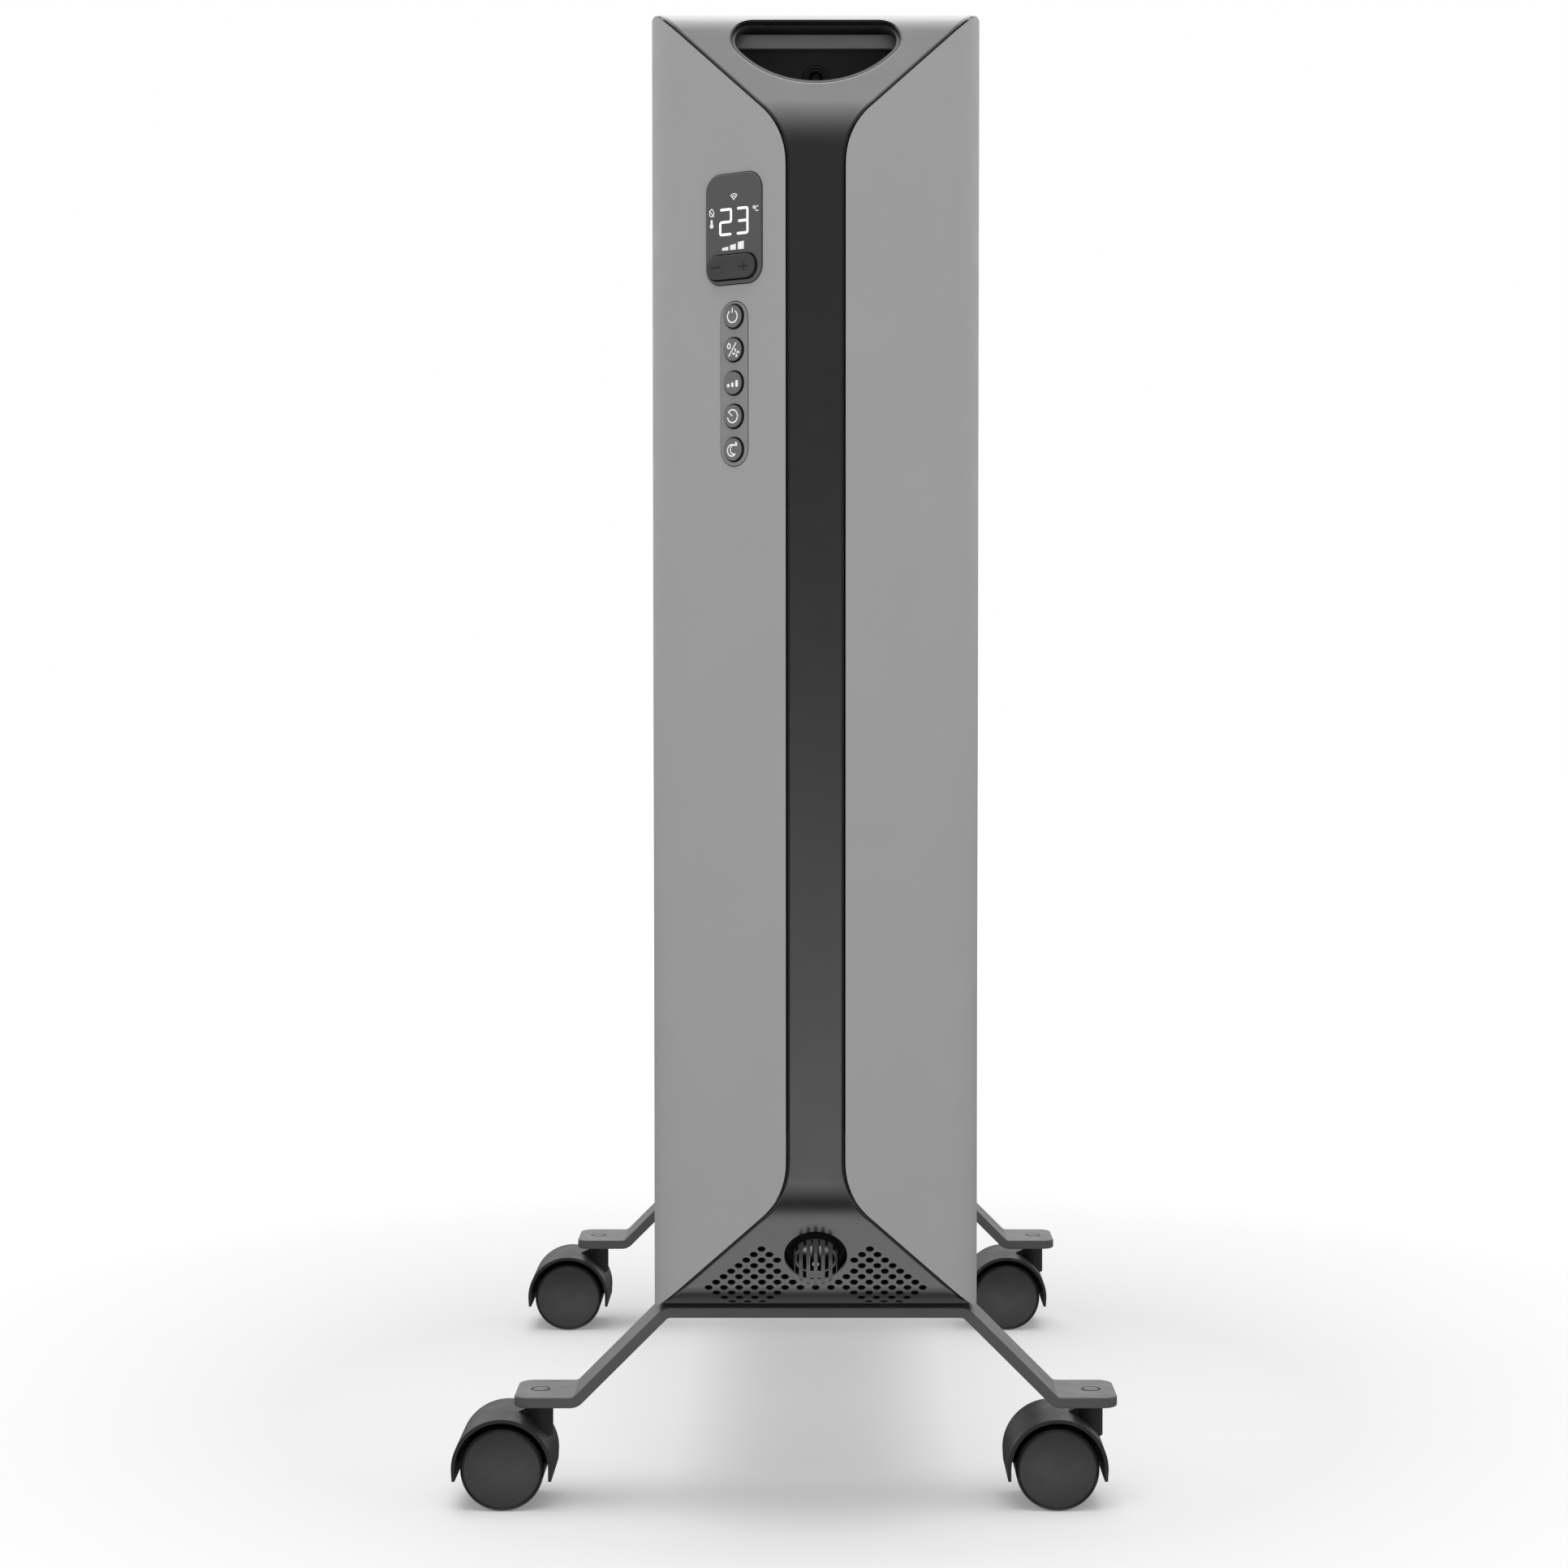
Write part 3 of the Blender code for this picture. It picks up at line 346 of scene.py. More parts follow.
def set_inputs(tree, node, inputs):
    """Set a node's inputs, by name or number, to plain values or to links from other nodes."""
    for key, value in inputs.items():
        if isinstance(value, bpy.types.NodeSocket):
            tree.links.new(value, node.inputs[key])
        else:
            node.inputs[key].default_value = value


def add_node(tree, kind, inputs=None):
    node = tree.nodes.new(f"ShaderNode{kind}")
    set_inputs(tree, node, inputs or {})
    return node


def object_place(tree):
    """Where a point lies in its object, in metres."""
    return add_node(tree, "TexCoord").outputs["Object"]


def remapped(tree, value, before, after):
    """A value in the range before, turned into the range after and held at its ends."""
    inputs = {"From Min": before[0], "From Max": before[1], "To Min": after[0], "To Max": after[1]}
    return add_node(tree, "MapRange", {"Value": value, **inputs}).outputs["Result"]


def combined(tree, operation, first, second=0.0):
    """The result of a Math node on sockets or numbers."""
    node = add_node(tree, "Math", {0: first, 1: second})
    node.operation = operation
    return node.outputs["Value"]


def new_material(name, colour, roughness, metallic=0.0, specular=0.5):
    made = bpy.data.materials.new(name)
    made.use_nodes = True
    made.diffuse_color = (*colour, 1.0)
    shader = made.node_tree.nodes["Principled BSDF"]
    set_inputs(made.node_tree, shader, {
        "Base Color": (*colour, 1.0), "Roughness": roughness, "Metallic": metallic,
        "Specular IOR Level": specular,
    })
    return made, made.node_tree, shader


def noise(tree, scale, detail):
    """Noise in object space; scale counts features per metre."""
    inputs = {"Vector": object_place(tree), "Scale": scale, "Detail": detail}
    return add_node(tree, "TexNoise", inputs).outputs["Fac"]


def spread(tree, value, low, high):
    """Turn a noise texture into the range low to high."""
    return remapped(tree, value, NOISE_RANGE, (low, high))


def tint(tree, value, colour, change):
    """The colour, lightened and darkened by a share of itself as the texture value changes."""
    mix = tree.nodes.new("ShaderNodeMix")
    mix.data_type = "RGBA"
    darker, lighter = [(*[c * (1 + share) for c in colour], 1.0) for share in (-change, change)]
    set_inputs(tree, mix, {"Factor": spread(tree, value, 0.0, 1.0), "A": darker, "B": lighter})
    return mix.outputs["Result"]


def bump(tree, shader, value, depth):
    relief = add_node(tree, "Bump", {"Distance": depth, "Height": value})
    tree.links.new(relief.outputs["Normal"], shader.inputs["Normal"])


def textured(name, colour, roughness, metallic=0.0, specular=0.5, grain=1500.0, depth=0.00003,
             mottle=0.04, wander=0.05):
    """A moulded or painted finish: fine grain in the surface, slow changes of tone and gloss."""
    made, tree, shader = new_material(name, colour, roughness, metallic, specular)
    gloss = noise(tree, GLOSS_SCALE, 5.0)
    set_inputs(tree, shader, {
        "Base Color": tint(tree, noise(tree, TONE_SCALE, 4.0), colour, mottle),
        "Roughness": spread(tree, gloss, roughness - wander, roughness + wander),
    })
    bump(tree, shader, noise(tree, grain, 2.0), depth)
    return made


def glowing(name, colour, strength):
    """Printed or lit marks: near white, with a slightly uneven tone and a light of their own; on the lit
    digits that light is the display's, on the printed icons it is a painted glow.
    """
    made, tree, shader = new_material(name, colour, 0.5)
    set_inputs(tree, shader, {
        "Base Color": tint(tree, noise(tree, PRINT_SCALE, 2.0), colour, 0.05),
        "Emission Color": (*colour, 1.0),
        "Emission Strength": strength,
    })
    return made


def circuit_board(name):
    """Green solder mask with a grid of traces."""
    made, tree, shader = new_material(name, (0.02, 0.11, 0.05), 0.4)
    traces = add_node(tree, "TexBrick", {
        "Vector": object_place(tree), "Scale": TRACE_SCALE, "Mortar Size": 0.03,
        "Color1": (0.015, 0.085, 0.04, 1.0), "Color2": (0.02, 0.12, 0.055, 1.0),
        "Mortar": (0.12, 0.20, 0.08, 1.0),
    })
    tree.links.new(traces.outputs["Color"], shader.inputs["Base Color"])
    bump(tree, shader, traces.outputs["Fac"], -0.00003)
    return made


def grey(level):
    return (level, level, level)


def make_finishes():
    panel = {"specular": 0.15, "grain": 2400.0, "depth": 0.000012, "mottle": 0.012, "wander": 0.04}
    control = {"grain": 2200.0, "depth": 0.00001}
    return {
        "shell": textured("satin_grey_shell", grey(0.33), 0.48, **panel),
        "surround": textured("button_surround_plastic", grey(0.235), 0.48, **panel),
        "spine": textured("dark_metallic_trim", grey(0.125), 0.20, metallic=1.0, grain=2600.0,
                          depth=0.000006, mottle=0.02, wander=0.02),
        "pocket": textured("dark_pocket_plastic", grey(0.075), 0.42, grain=1800.0, depth=0.00002),
        "fin": textured("fin_powder_paint", grey(0.31), 0.45, grain=1100.0, depth=0.00004, mottle=0.03),
        "foot": textured("foot_powder_paint", grey(0.078), 0.42, specular=0.34, depth=0.00005, mottle=0.06),
        "steel": textured("zinc_plated_steel", (0.56, 0.57, 0.58), 0.34, metallic=1.0, grain=500.0,
                          depth=0.00002, mottle=0.10, wander=0.08),
        "black_steel": textured("blackened_steel", grey(0.07), 0.36, metallic=0.8, grain=900.0),
        "brass": textured("turned_brass", (0.62, 0.46, 0.20), 0.32, metallic=1.0, grain=700.0, depth=0.00002),
        "display": textured("display_window", grey(0.095), 0.22, specular=0.6, grain=300.0, depth=0.000004,
                            mottle=0.02, wander=0.03),
        "rocker": textured("rocker_plastic", grey(0.050), 0.38, **control),
        # the marks' dark print; also painted shade on the sides of the rocker key and the button caps
        "mark_print_and_side_shade": textured("mark_print_and_side_shade", grey(0.018), 0.5, **control),
        "button": textured("button_plastic", grey(0.150), 0.42, **control),
        "cage": textured("sensor_cage_plastic", grey(0.085), 0.34, **control),
        # painted shade: near black, laid on the vent walls, the sensor cage's inside and the hidden front end
        # plate, where shade falls
        "shade": textured("painted_inner_shade", grey(0.006), 0.70, specular=0.1, grain=1600.0,
                          depth=0.00002),
        "dark": textured("dark_plastic", grey(0.030), 0.42, grain=1600.0),
        "hood": textured("hood_plastic", grey(0.026), 0.45, specular=0.15, mottle=0.05),
        "wheel": textured("wheel_plastic", grey(0.018), 0.30, specular=0.8, grain=1300.0, mottle=0.06),
        "rubber": textured("soft_rubber", grey(0.020), 0.65, grain=1200.0, depth=0.00004),
        "digits": glowing("lit_digits", grey(0.85), 0.55),
        # painted light: the printed icons' faint glow
        "icons": glowing("printed_icons_painted_glow", grey(0.80), 0.10),
        "board": circuit_board("circuit_board"),
    }


# ---------------------------------------------------------------- the end covers' form
# A cover's cross-section is the same across its sides and over its top and bottom.  It is
# given by the distance in from that side, top or bottom, and the distance out from CORNER_Y.
CHANNEL_IN = BODY_HALF_WIDTH - CHANNEL_HALF_WIDTH
MITRE_RADIUS = (CHANNEL_IN - MITRE_STRAIGHT) / (1 - cos(pi / 4))
MITRE_CENTRE_IN = MITRE_STRAIGHT - MITRE_RADIUS * cos(pi / 4)
MITRE_CENTRE_DOWN = MITRE_STRAIGHT + MITRE_RADIUS * sin(pi / 4)
EDGE_TANGENT = EDGE_RADIUS * tan((pi / 2 - SLOPE) / 2)


def slope_out(inward, depth=0.0):
    return inward * tan(SLOPE) - depth / cos(SLOPE)


def surface_out(inward, depth):
    """Distance out from CORNER_Y of a surface that lies depth inside the outer one."""
    turn_in = EDGE_RADIUS - (EDGE_RADIUS - depth) * sin(SLOPE)
    if inward >= turn_in:
        return slope_out(inward, depth)
    across = (EDGE_RADIUS - inward) / (EDGE_RADIUS - depth)
    return -EDGE_TANGENT + (EDGE_RADIUS - depth) * sqrt(max(0.0, 1 - across * across))


def mitre_down(inward):
    if inward <= MITRE_STRAIGHT:
        return inward
    across = inward - MITRE_CENTRE_IN
    return MITRE_CENTRE_DOWN - sqrt(max(0.0, MITRE_RADIUS ** 2 - across ** 2))


def mitre_in(down):
    if down <= MITRE_STRAIGHT:
        return down
    if down >= MITRE_CENTRE_DOWN:
        return CHANNEL_IN
    return MITRE_CENTRE_IN + sqrt(MITRE_RADIUS ** 2 - (MITRE_CENTRE_DOWN - down) ** 2)


def seam_stretch(down):
    """How much wider a band along the seam measures across X, at a distance below the top."""
    if down <= MITRE_STRAIGHT:
        return sqrt(2)
    return MITRE_RADIUS / (mitre_in(down) - MITRE_CENTRE_IN) if down < MITRE_CENTRE_DOWN else 1.0


def edge_points(depth):
    radius = EDGE_RADIUS - depth
    steps = [(pi / 2 - SLOPE) * i / EDGE_SEGMENTS for i in range(EDGE_SEGMENTS + 1)]
    return [(EDGE_RADIUS - radius * cos(a), -EDGE_TANGENT + radius * sin(a)) for a in steps]


def panel_mesh(side, end):
    rear = COVER_REAR_Y - CORNER_Y
    outer = [(0.0, rear)] + edge_points(0.0)
    inner = [(PANEL_WALL, rear)] + edge_points(PANEL_WALL)
    lip_in = CHANNEL_IN - PANEL_WALL
    for turn in [pi / 4 * (1 - i / MITRE_SEGMENTS) for i in range(MITRE_SEGMENTS + 1)]:
        across = MITRE_CENTRE_IN + MITRE_RADIUS * cos(turn)
        share = (across - MITRE_STRAIGHT) / (CHANNEL_IN - MITRE_STRAIGHT)
        back = MITRE_STRAIGHT + share * (lip_in - MITRE_STRAIGHT)
        outer.append((across, slope_out(across)))
        inner.append((back, slope_out(back, PANEL_WALL)))
    outer.append((CHANNEL_IN, LIP_END_Y))
    inner.append((lip_in, LIP_END_Y))
    rings = []
    for near, far in zip(outer, inner):
        ring = []
        for (inward, out), top in ((near, True), (near, False), (far, False), (far, True)):
            down = mitre_down(inward) + SEAM
            height = min(BODY_TOP - down, PANEL_CORNER_TOP) if top else BODY_BOTTOM + down
            ring.append(Vector((side * (BODY_HALF_WIDTH - inward), end * (CORNER_Y + out), height)))
        rings.append(ring)
    return loft(rings)


def spine_half(depth):
    """(down, out) points of a spine surface, from the cover's inner end to the middle of the strip."""
    radius = EDGE_RADIUS - (depth - SPINE_INSET)
    bend_out = CHANNEL_DEPTH_Y - EDGE_RADIUS
    bend_down = (SPINE_INSET + EDGE_RADIUS + bend_out * cos(SLOPE)) / sin(SLOPE)
    points = [(depth, COVER_REAR_Y - CORNER_Y)] + edge_points(depth)
    turns = [SLOPE * (1 - i / MITRE_SEGMENTS) for i in range(MITRE_SEGMENTS + 1)]
    points += [(bend_down - radius * sin(a), bend_out + radius * cos(a)) for a in turns]
    strip_out = bend_out + radius
    for share in (0.2, 0.4, 0.6, 0.8, 1.0):
        points.append((bend_down + share * (MITRE_CENTRE_DOWN - bend_down), strip_out))
    return points


def spine_mesh(end):
    """The spine: top, slopes, centre strip and underside of a cover, with its edge rounded down into the
    seam.
    """
    halves = {depth: spine_half(depth) for depth in {d for _, d in RIM_SECTION} | {SPINE_INSET}}
    stations = range(len(halves[SPINE_INSET]))
    rings = []
    for level, direction, order in ((BODY_TOP, -1, stations), (BODY_BOTTOM, 1, reversed(stations))):
        for i in order:
            down = halves[SPINE_INSET][i][0]
            half = BODY_HALF_WIDTH - mitre_in(down) - SEAM
            lift = 0.0
            if direction < 0:
                lift = TOP_LIFT * max(0.0, 1 - (down - SPINE_INSET) / TOP_LIFT_REACH)
                half += END_REACH * max(0.0, 1 - ((down - SPINE_INSET) / END_FALL) ** 2) - lift
            stretch = seam_stretch(down)
            left = []
            for offset, depth in RIM_SECTION:
                below, out = halves[depth][i]
                height = level + direction * below + lift
                left.append(Vector((offset * stretch - half, end * (CORNER_Y + out), height)))
            right = [Vector((-p.x, p.y, p.z)) for p in reversed(left)]
            rings.append(left + right)
    return loft(rings)


def handle_outline(grow=0.0):
    """The half-moon handle opening in X and Z: flat top, round corners and a curved lower edge."""
    top = BODY_TOP - HANDLE_TOP + grow
    big = HANDLE_ARC + grow
    small = HANDLE_CORNER + grow
    big_z = BODY_TOP - HANDLE_DROP + HANDLE_ARC
    small_z = top - small
    small_x = sqrt((big - small) ** 2 - (big_z - small_z) ** 2)
    meet = atan2(small_z - big_z, small_x)
    right = arc((small_x, small_z), small, meet, pi / 2, 14)
    left = [(-x, z) for x, z in reversed(right)]
    bottom = arc((0.0, big_z), big, -pi - meet, meet, 44)
    return right + left + bottom[1:-1]


def over_surface(outline, end, depth):
    """An outline in X and Z laid on the cover's top slope, depth inside its outer surface."""
    return [Vector((x, end * (CORNER_Y + surface_out(BODY_TOP - z, depth)), z)) for x, z in outline]


def handle_cutter(end):
    """Cuts the handle opening through the spine, with its edge rounded over."""
    rounding = 0.0011
    rings = [[Vector((x, end * 0.185, z)) for x, z in handle_outline()]]
    for turn in (0.0, 0.35, 0.7, 1.05, 1.4):
        outline = handle_outline(rounding * (1 - cos(turn)))
        rings.append(over_surface(outline, end, SPINE_INSET + rounding * (1 - sin(turn))))
    rings.append([Vector((x, end * 0.30, z)) for x, z in handle_outline(rounding)])
    return loft(rings)


def vent_centres():
    centres = []
    for row, (first, count) in enumerate(VENT_ROWS):
        height = VENT_LOWEST_ROW + row * VENT_ROW_RISE
        for i in range(count):
            across = (first + 2 * i) * VENT_PITCH / 2
            centres += [(side * across, height) for side in ((-1, 1) if across > 0 else (1,))]
    return centres


def control_face():
    """Frame on the left front slope: X across it towards the channel, Y up, Z out of the face."""
    across = Vector((cos(SLOPE), -sin(SLOPE), 0))
    outward = Vector((-sin(SLOPE), -cos(SLOPE), 0))
    origin = Vector((FACE_INSET_X - BODY_HALF_WIDTH, -CORNER_Y - slope_out(FACE_INSET_X), 0))
    turn = Matrix((across, Vector((0, 0, 1)), outward)).transposed().to_4x4()
    return Matrix.Translation(origin) @ turn


def sensor_frame():
    """Frame on the front cover's lower slope: Z out of the slope, X to the right."""
    outward = Vector((0, -cos(SLOPE), -sin(SLOPE)))
    across = Vector((1, 0, 0))
    origin = Vector((0, -CORNER_Y - slope_out(SENSOR_RISE, SPINE_INSET), BODY_BOTTOM + SENSOR_RISE))
    turn = Matrix((across, outward.cross(across), outward)).transposed().to_4x4()
    return Matrix.Translation(origin) @ turn


def flared_hole(radius, surface, depth, flare, sides, centre):
    """A round cutter whose mouth opens out, to leave a small chamfer at the surface."""
    levels = [(radius, surface - depth), (radius, surface - flare), (radius + flare, surface + flare / 4),
              (radius + flare, surface + 0.002)]
    rings = [[Vector((x, y, height)) for x, y in circle(size, sides, centre)] for size, height in levels]
    return loft(rings)


def vent_spots():
    """The vent holes' centres on the spine's surface, in the sensor's frame."""
    to_face = sensor_frame().inverted()
    return [to_face @ Vector((x, -CORNER_Y - surface_out(z - BODY_BOTTOM, SPINE_INSET), z))
            for x, z in vent_centres()]


def spine_data(end):
    steps = [("DIFFERENCE", handle_cutter(end))]
    if end < 0:
        place = sensor_frame()
        recess = flared_hole(SENSOR_HOLE, 0.0, 0.006, 0.0005, 64, (0, 0))
        steps.append(("DIFFERENCE", moved(recess, place @ Matrix.Diagonal((1, RECESS_STRETCH, 1, 1)))))
        vents = [flared_hole(VENT_RADIUS, spot.z, 0.004, 0.00022, 16, spot.xy) for spot in vent_spots()]
        steps.append(("DIFFERENCE", moved(joined(vents), place)))
    return solid(spine_mesh(end), *steps)


def darken_vents(data, finish):
    """Give the walls of the vent holes painted shade, near black like the shaded inside."""
    place = sensor_frame()
    to_face = place.inverted()
    outward = place.to_3x3().col[2]
    spots = vent_spots()

    def is_wall(polygon):
        centre = to_face @ polygon.center
        near = min((centre.xy - spot.xy).length for spot in spots)
        return near < VENT_RADIUS * 1.03 and abs(polygon.normal.dot(outward)) < 0.3

    return two_finishes(data, finish["spine"], finish["shade"], is_wall)


def pocket_data(end):
    """The finger pocket: its walls and the ring round its screw."""
    depth = SPINE_INSET + SPINE_WALL + GAP
    outer, inner = handle_outline(POCKET_WALL - POCKET_LIP), handle_outline(-POCKET_LIP)
    back = end * POCKET_BACK_Y
    floor = end * (POCKET_BACK_Y + POCKET_WALL)
    fillet = 0.0012
    rings = [
        [Vector((x, back, z)) for x, z in outer],
        over_surface(outer, end, depth),
        over_surface(inner, end, depth),
    ]
    for turn in (0.0, 0.4, 0.8, 1.2, pi / 2):
        outline = handle_outline(-POCKET_LIP - fillet * (1 - cos(turn)))
        rings.append([Vector((x, floor + end * fillet * (1 - sin(turn)), z)) for x, z in outline])
    ring = [(0.0043, -0.0006), (0.0043, 0.0016), (0.0047, 0.0021), (0.0054, 0.0021), (0.0059, 0.0015),
            (0.0059, -0.0006)]
    boss = lathe([(radius, floor + end * height) for radius, height in ring], 48, "Y", loop=True)
    boss = moved(boss, at(0, 0, HANDLE_SCREW_Z))
    return solid(loft(rings), ("UNION", boss))


def grip_mesh(end):
    """The bar across the pocket that the fingers hook behind; its front leans back as it rises."""
    low, middle, high = GRIP_Z
    long, short = GRIP_HALF_LENGTH
    outline = [(-long, low), (long, low), (long, middle), (short, high), (-short, high), (-long, middle)]
    outline = filleted(outline, 0.0016, 5, closed=True)
    lean = GRIP_SLANT / (high - low)
    front = [Vector((x, end * (GRIP_Y[1] - lean * (z - low)), z)) for x, z in outline]
    return loft([front, [Vector((x, end * GRIP_Y[0], z)) for x, z in outline]])


def display_outline(grow):
    return rounded_rectangle(DISPLAY_SIZE, DISPLAY_CORNER, DISPLAY_CENTRE, grow)


def strip_outline(grow):
    return rounded_rectangle(STRIP_SIZE, STRIP_SIZE[0] / 2, STRIP_CENTRE, grow)


def rocker_outline(grow):
    return rounded_rectangle(ROCKER_SIZE, ROCKER_SIZE[1] / 2, (0.0, 0.0), grow)


def rocker_opening(grow):
    return rounded_rectangle(ROCKER_SIZE, ROCKER_SIZE[1] / 2, ROCKER_CENTRE, grow)


def window_cutter(outline, face):
    """Cuts a window in the left panel, with a fine chamfer at its edge."""
    levels = [(GAP, -0.006), (GAP, -0.0002), (GAP + 0.0002, 0.00005), (GAP + 0.0002, 0.004)]
    return moved(stacked(outline, levels), face)


def build_covers(face, finish):
    left_front = solid(panel_mesh(-1, -1), ("DIFFERENCE", window_cutter(display_outline, face)),
                       ("DIFFERENCE", window_cutter(strip_outline, face)))
    gland_hole = disc(0.0073, BODY_HALF_WIDTH - 0.005, BODY_HALF_WIDTH + 0.003, 40, GLAND[1:], "X")
    right_front = solid(panel_mesh(1, -1), ("DIFFERENCE", gland_hole))
    panels = {
        "front_left": left_front, "front_right": right_front,
        "rear_left": panel_mesh(-1, 1), "rear_right": panel_mesh(1, 1),
    }
    for word, data in panels.items():
        piece(f"{word}_cover_panel", data, finish["shell"], nodes=[f"{word}_panel"],
              bevel=0.0005)
    for end, word in ENDS:
        spine = spine_data(end)
        if end < 0:
            spine = darken_vents(spine, finish)
        piece(f"{word}_cover_spine", spine, finish["spine"], nodes=[f"{word}_spine"],
              sharp=28)
        piece(f"{word}_grip_pocket", pocket_data(end), finish["pocket"], nodes=[f"{word}_handle_pocket"],
              sharp=35)
        piece(f"{word}_grip_bar", grip_mesh(end), finish["pocket"], bevel=0.0006)
    head = [(0.0012, -0.0026), (0.0020, -0.0024), (0.0027, -0.0019), (0.0032, -0.0010), (0.0033, 0.0),
            (0.0019, 0.0), (0.0019, 0.0095)]
    recess = [("DIFFERENCE", box((-size[0], -0.0035, -size[1]), (size[0], -0.0012, size[1])))
              for size in ((0.0004, 0.0019), (0.0019, 0.0004))]
    piece("pocket_screw", solid(lathe(head, 40, "Y"), *recess), finish["black_steel"], nodes=["handle_screw"],
          place=at(0, -POCKET_BACK_Y - POCKET_WALL - GAP, HANDLE_SCREW_Z))


# ---------------------------------------------------------------- marks on the controls
def filleted(path, radius, steps=4, closed=False):
    """Round the corners of a 2-D path."""
    count = len(path)
    points = []
    for i, here in enumerate(path):
        here = Vector(here)
        if not closed and i in (0, count - 1):
            points.append(tuple(here))
            continue
        before, after = Vector(path[i - 1]), Vector(path[(i + 1) % count])
        to_before, to_after = (before - here), (after - here)
        reach = min(radius, to_before.length / 2.2, to_after.length / 2.2)
        start = here + to_before.normalized() * reach
        finish = here + to_after.normalized() * reach
        for step in range(steps + 1):
            t = step / steps
            point = start.lerp(here, t).lerp(here.lerp(finish, t), t)
            points.append(tuple(point))
    return points


# a ridge's section, from one side to the other: (share of its half width, share of its height)
RIDGE_SECTION = (
    (-1.0, -0.8), (-1.0, 0.15), (-0.8, 0.7), (-0.35, 1.0), (0.35, 1.0), (0.8, 0.7), (1.0, 0.15), (1.0, -0.8),
)
RIDGE_HEIGHT = 0.00012


def ribbon(path, width, top, closed=False):
    """A low rounded ridge that follows a 2-D path on a face, with round ends."""
    half = width / 2
    points = [Vector(p) for p in path]
    sizes = [1.0] * len(points)
    if not closed:
        start_way = (points[1] - points[0]).normalized()
        end_way = (points[-1] - points[-2]).normalized()
        taper = [(0.05, 0.25), (0.3, 0.72), (0.65, 0.94)]
        head = [(points[0] + start_way * half * t, size) for t, size in taper]
        tail = [(points[-1] - end_way * half * t, size) for t, size in reversed(taper)]
        points = [p for p, _ in head] + [points[0] + start_way * half] + points[1:-1] \
            + [points[-1] - end_way * half] + [p for p, _ in tail]
        sizes = [s for _, s in head] + [1.0] * (len(points) - 6) + [s for _, s in tail]
    count = len(points)
    rings = []
    for i, (point, size) in enumerate(zip(points, sizes)):
        before = points[i - 1] if closed or i else None
        after = points[(i + 1) % count] if closed or i < count - 1 else None
        ways = []
        if before is not None:
            ways.append((point - before).normalized())
        if after is not None:
            ways.append((after - point).normalized())
        way = sum(ways, Vector((0, 0))).normalized()
        mitre = 1 / max(0.5, way.dot(ways[0]))
        normal = Vector((-way.y, way.x)) * half * size * mitre
        rings.append([Vector((*(point + normal * a), top + RIDGE_HEIGHT * b)) for a, b in RIDGE_SECTION])
    return loft(rings, closed)


def ridges(paths, width, top, closed=()):
    """Several ridges in one mesh; closed holds the numbers of the paths that close on themselves."""
    return joined([ribbon(path, width, top, closed=i in closed) for i, path in enumerate(paths)])


def millimetres(points):
    return [(x * MILLIMETRE, y * MILLIMETRE) for x, y in points]


def circle_mm(radius, centre=(0.0, 0.0), sides=24):
    return circle(radius * MILLIMETRE, sides, (centre[0] * MILLIMETRE, centre[1] * MILLIMETRE))


def arc_mm(radius, start, end, centre=(0.0, 0.0), segments=14):
    middle = (centre[0] * MILLIMETRE, centre[1] * MILLIMETRE)
    return arc(middle, radius * MILLIMETRE, radians(start), radians(end), segments)


def fan_blades(centre, radius):
    """Four curved blades round a hub."""
    blade = [(0.25 * radius, 0.0), (0.75 * radius, 0.38 * radius), (radius, 0.1 * radius),
             (0.8 * radius, -0.12 * radius)]
    paths = []
    for quarter in range(4):
        turn = radians(90 * quarter)
        spun = [(centre[0] + x * cos(turn) - y * sin(turn), centre[1] + x * sin(turn) + y * cos(turn))
                for x, y in blade]
        paths.append(filleted(millimetres(spun), 0.0006))
    return paths


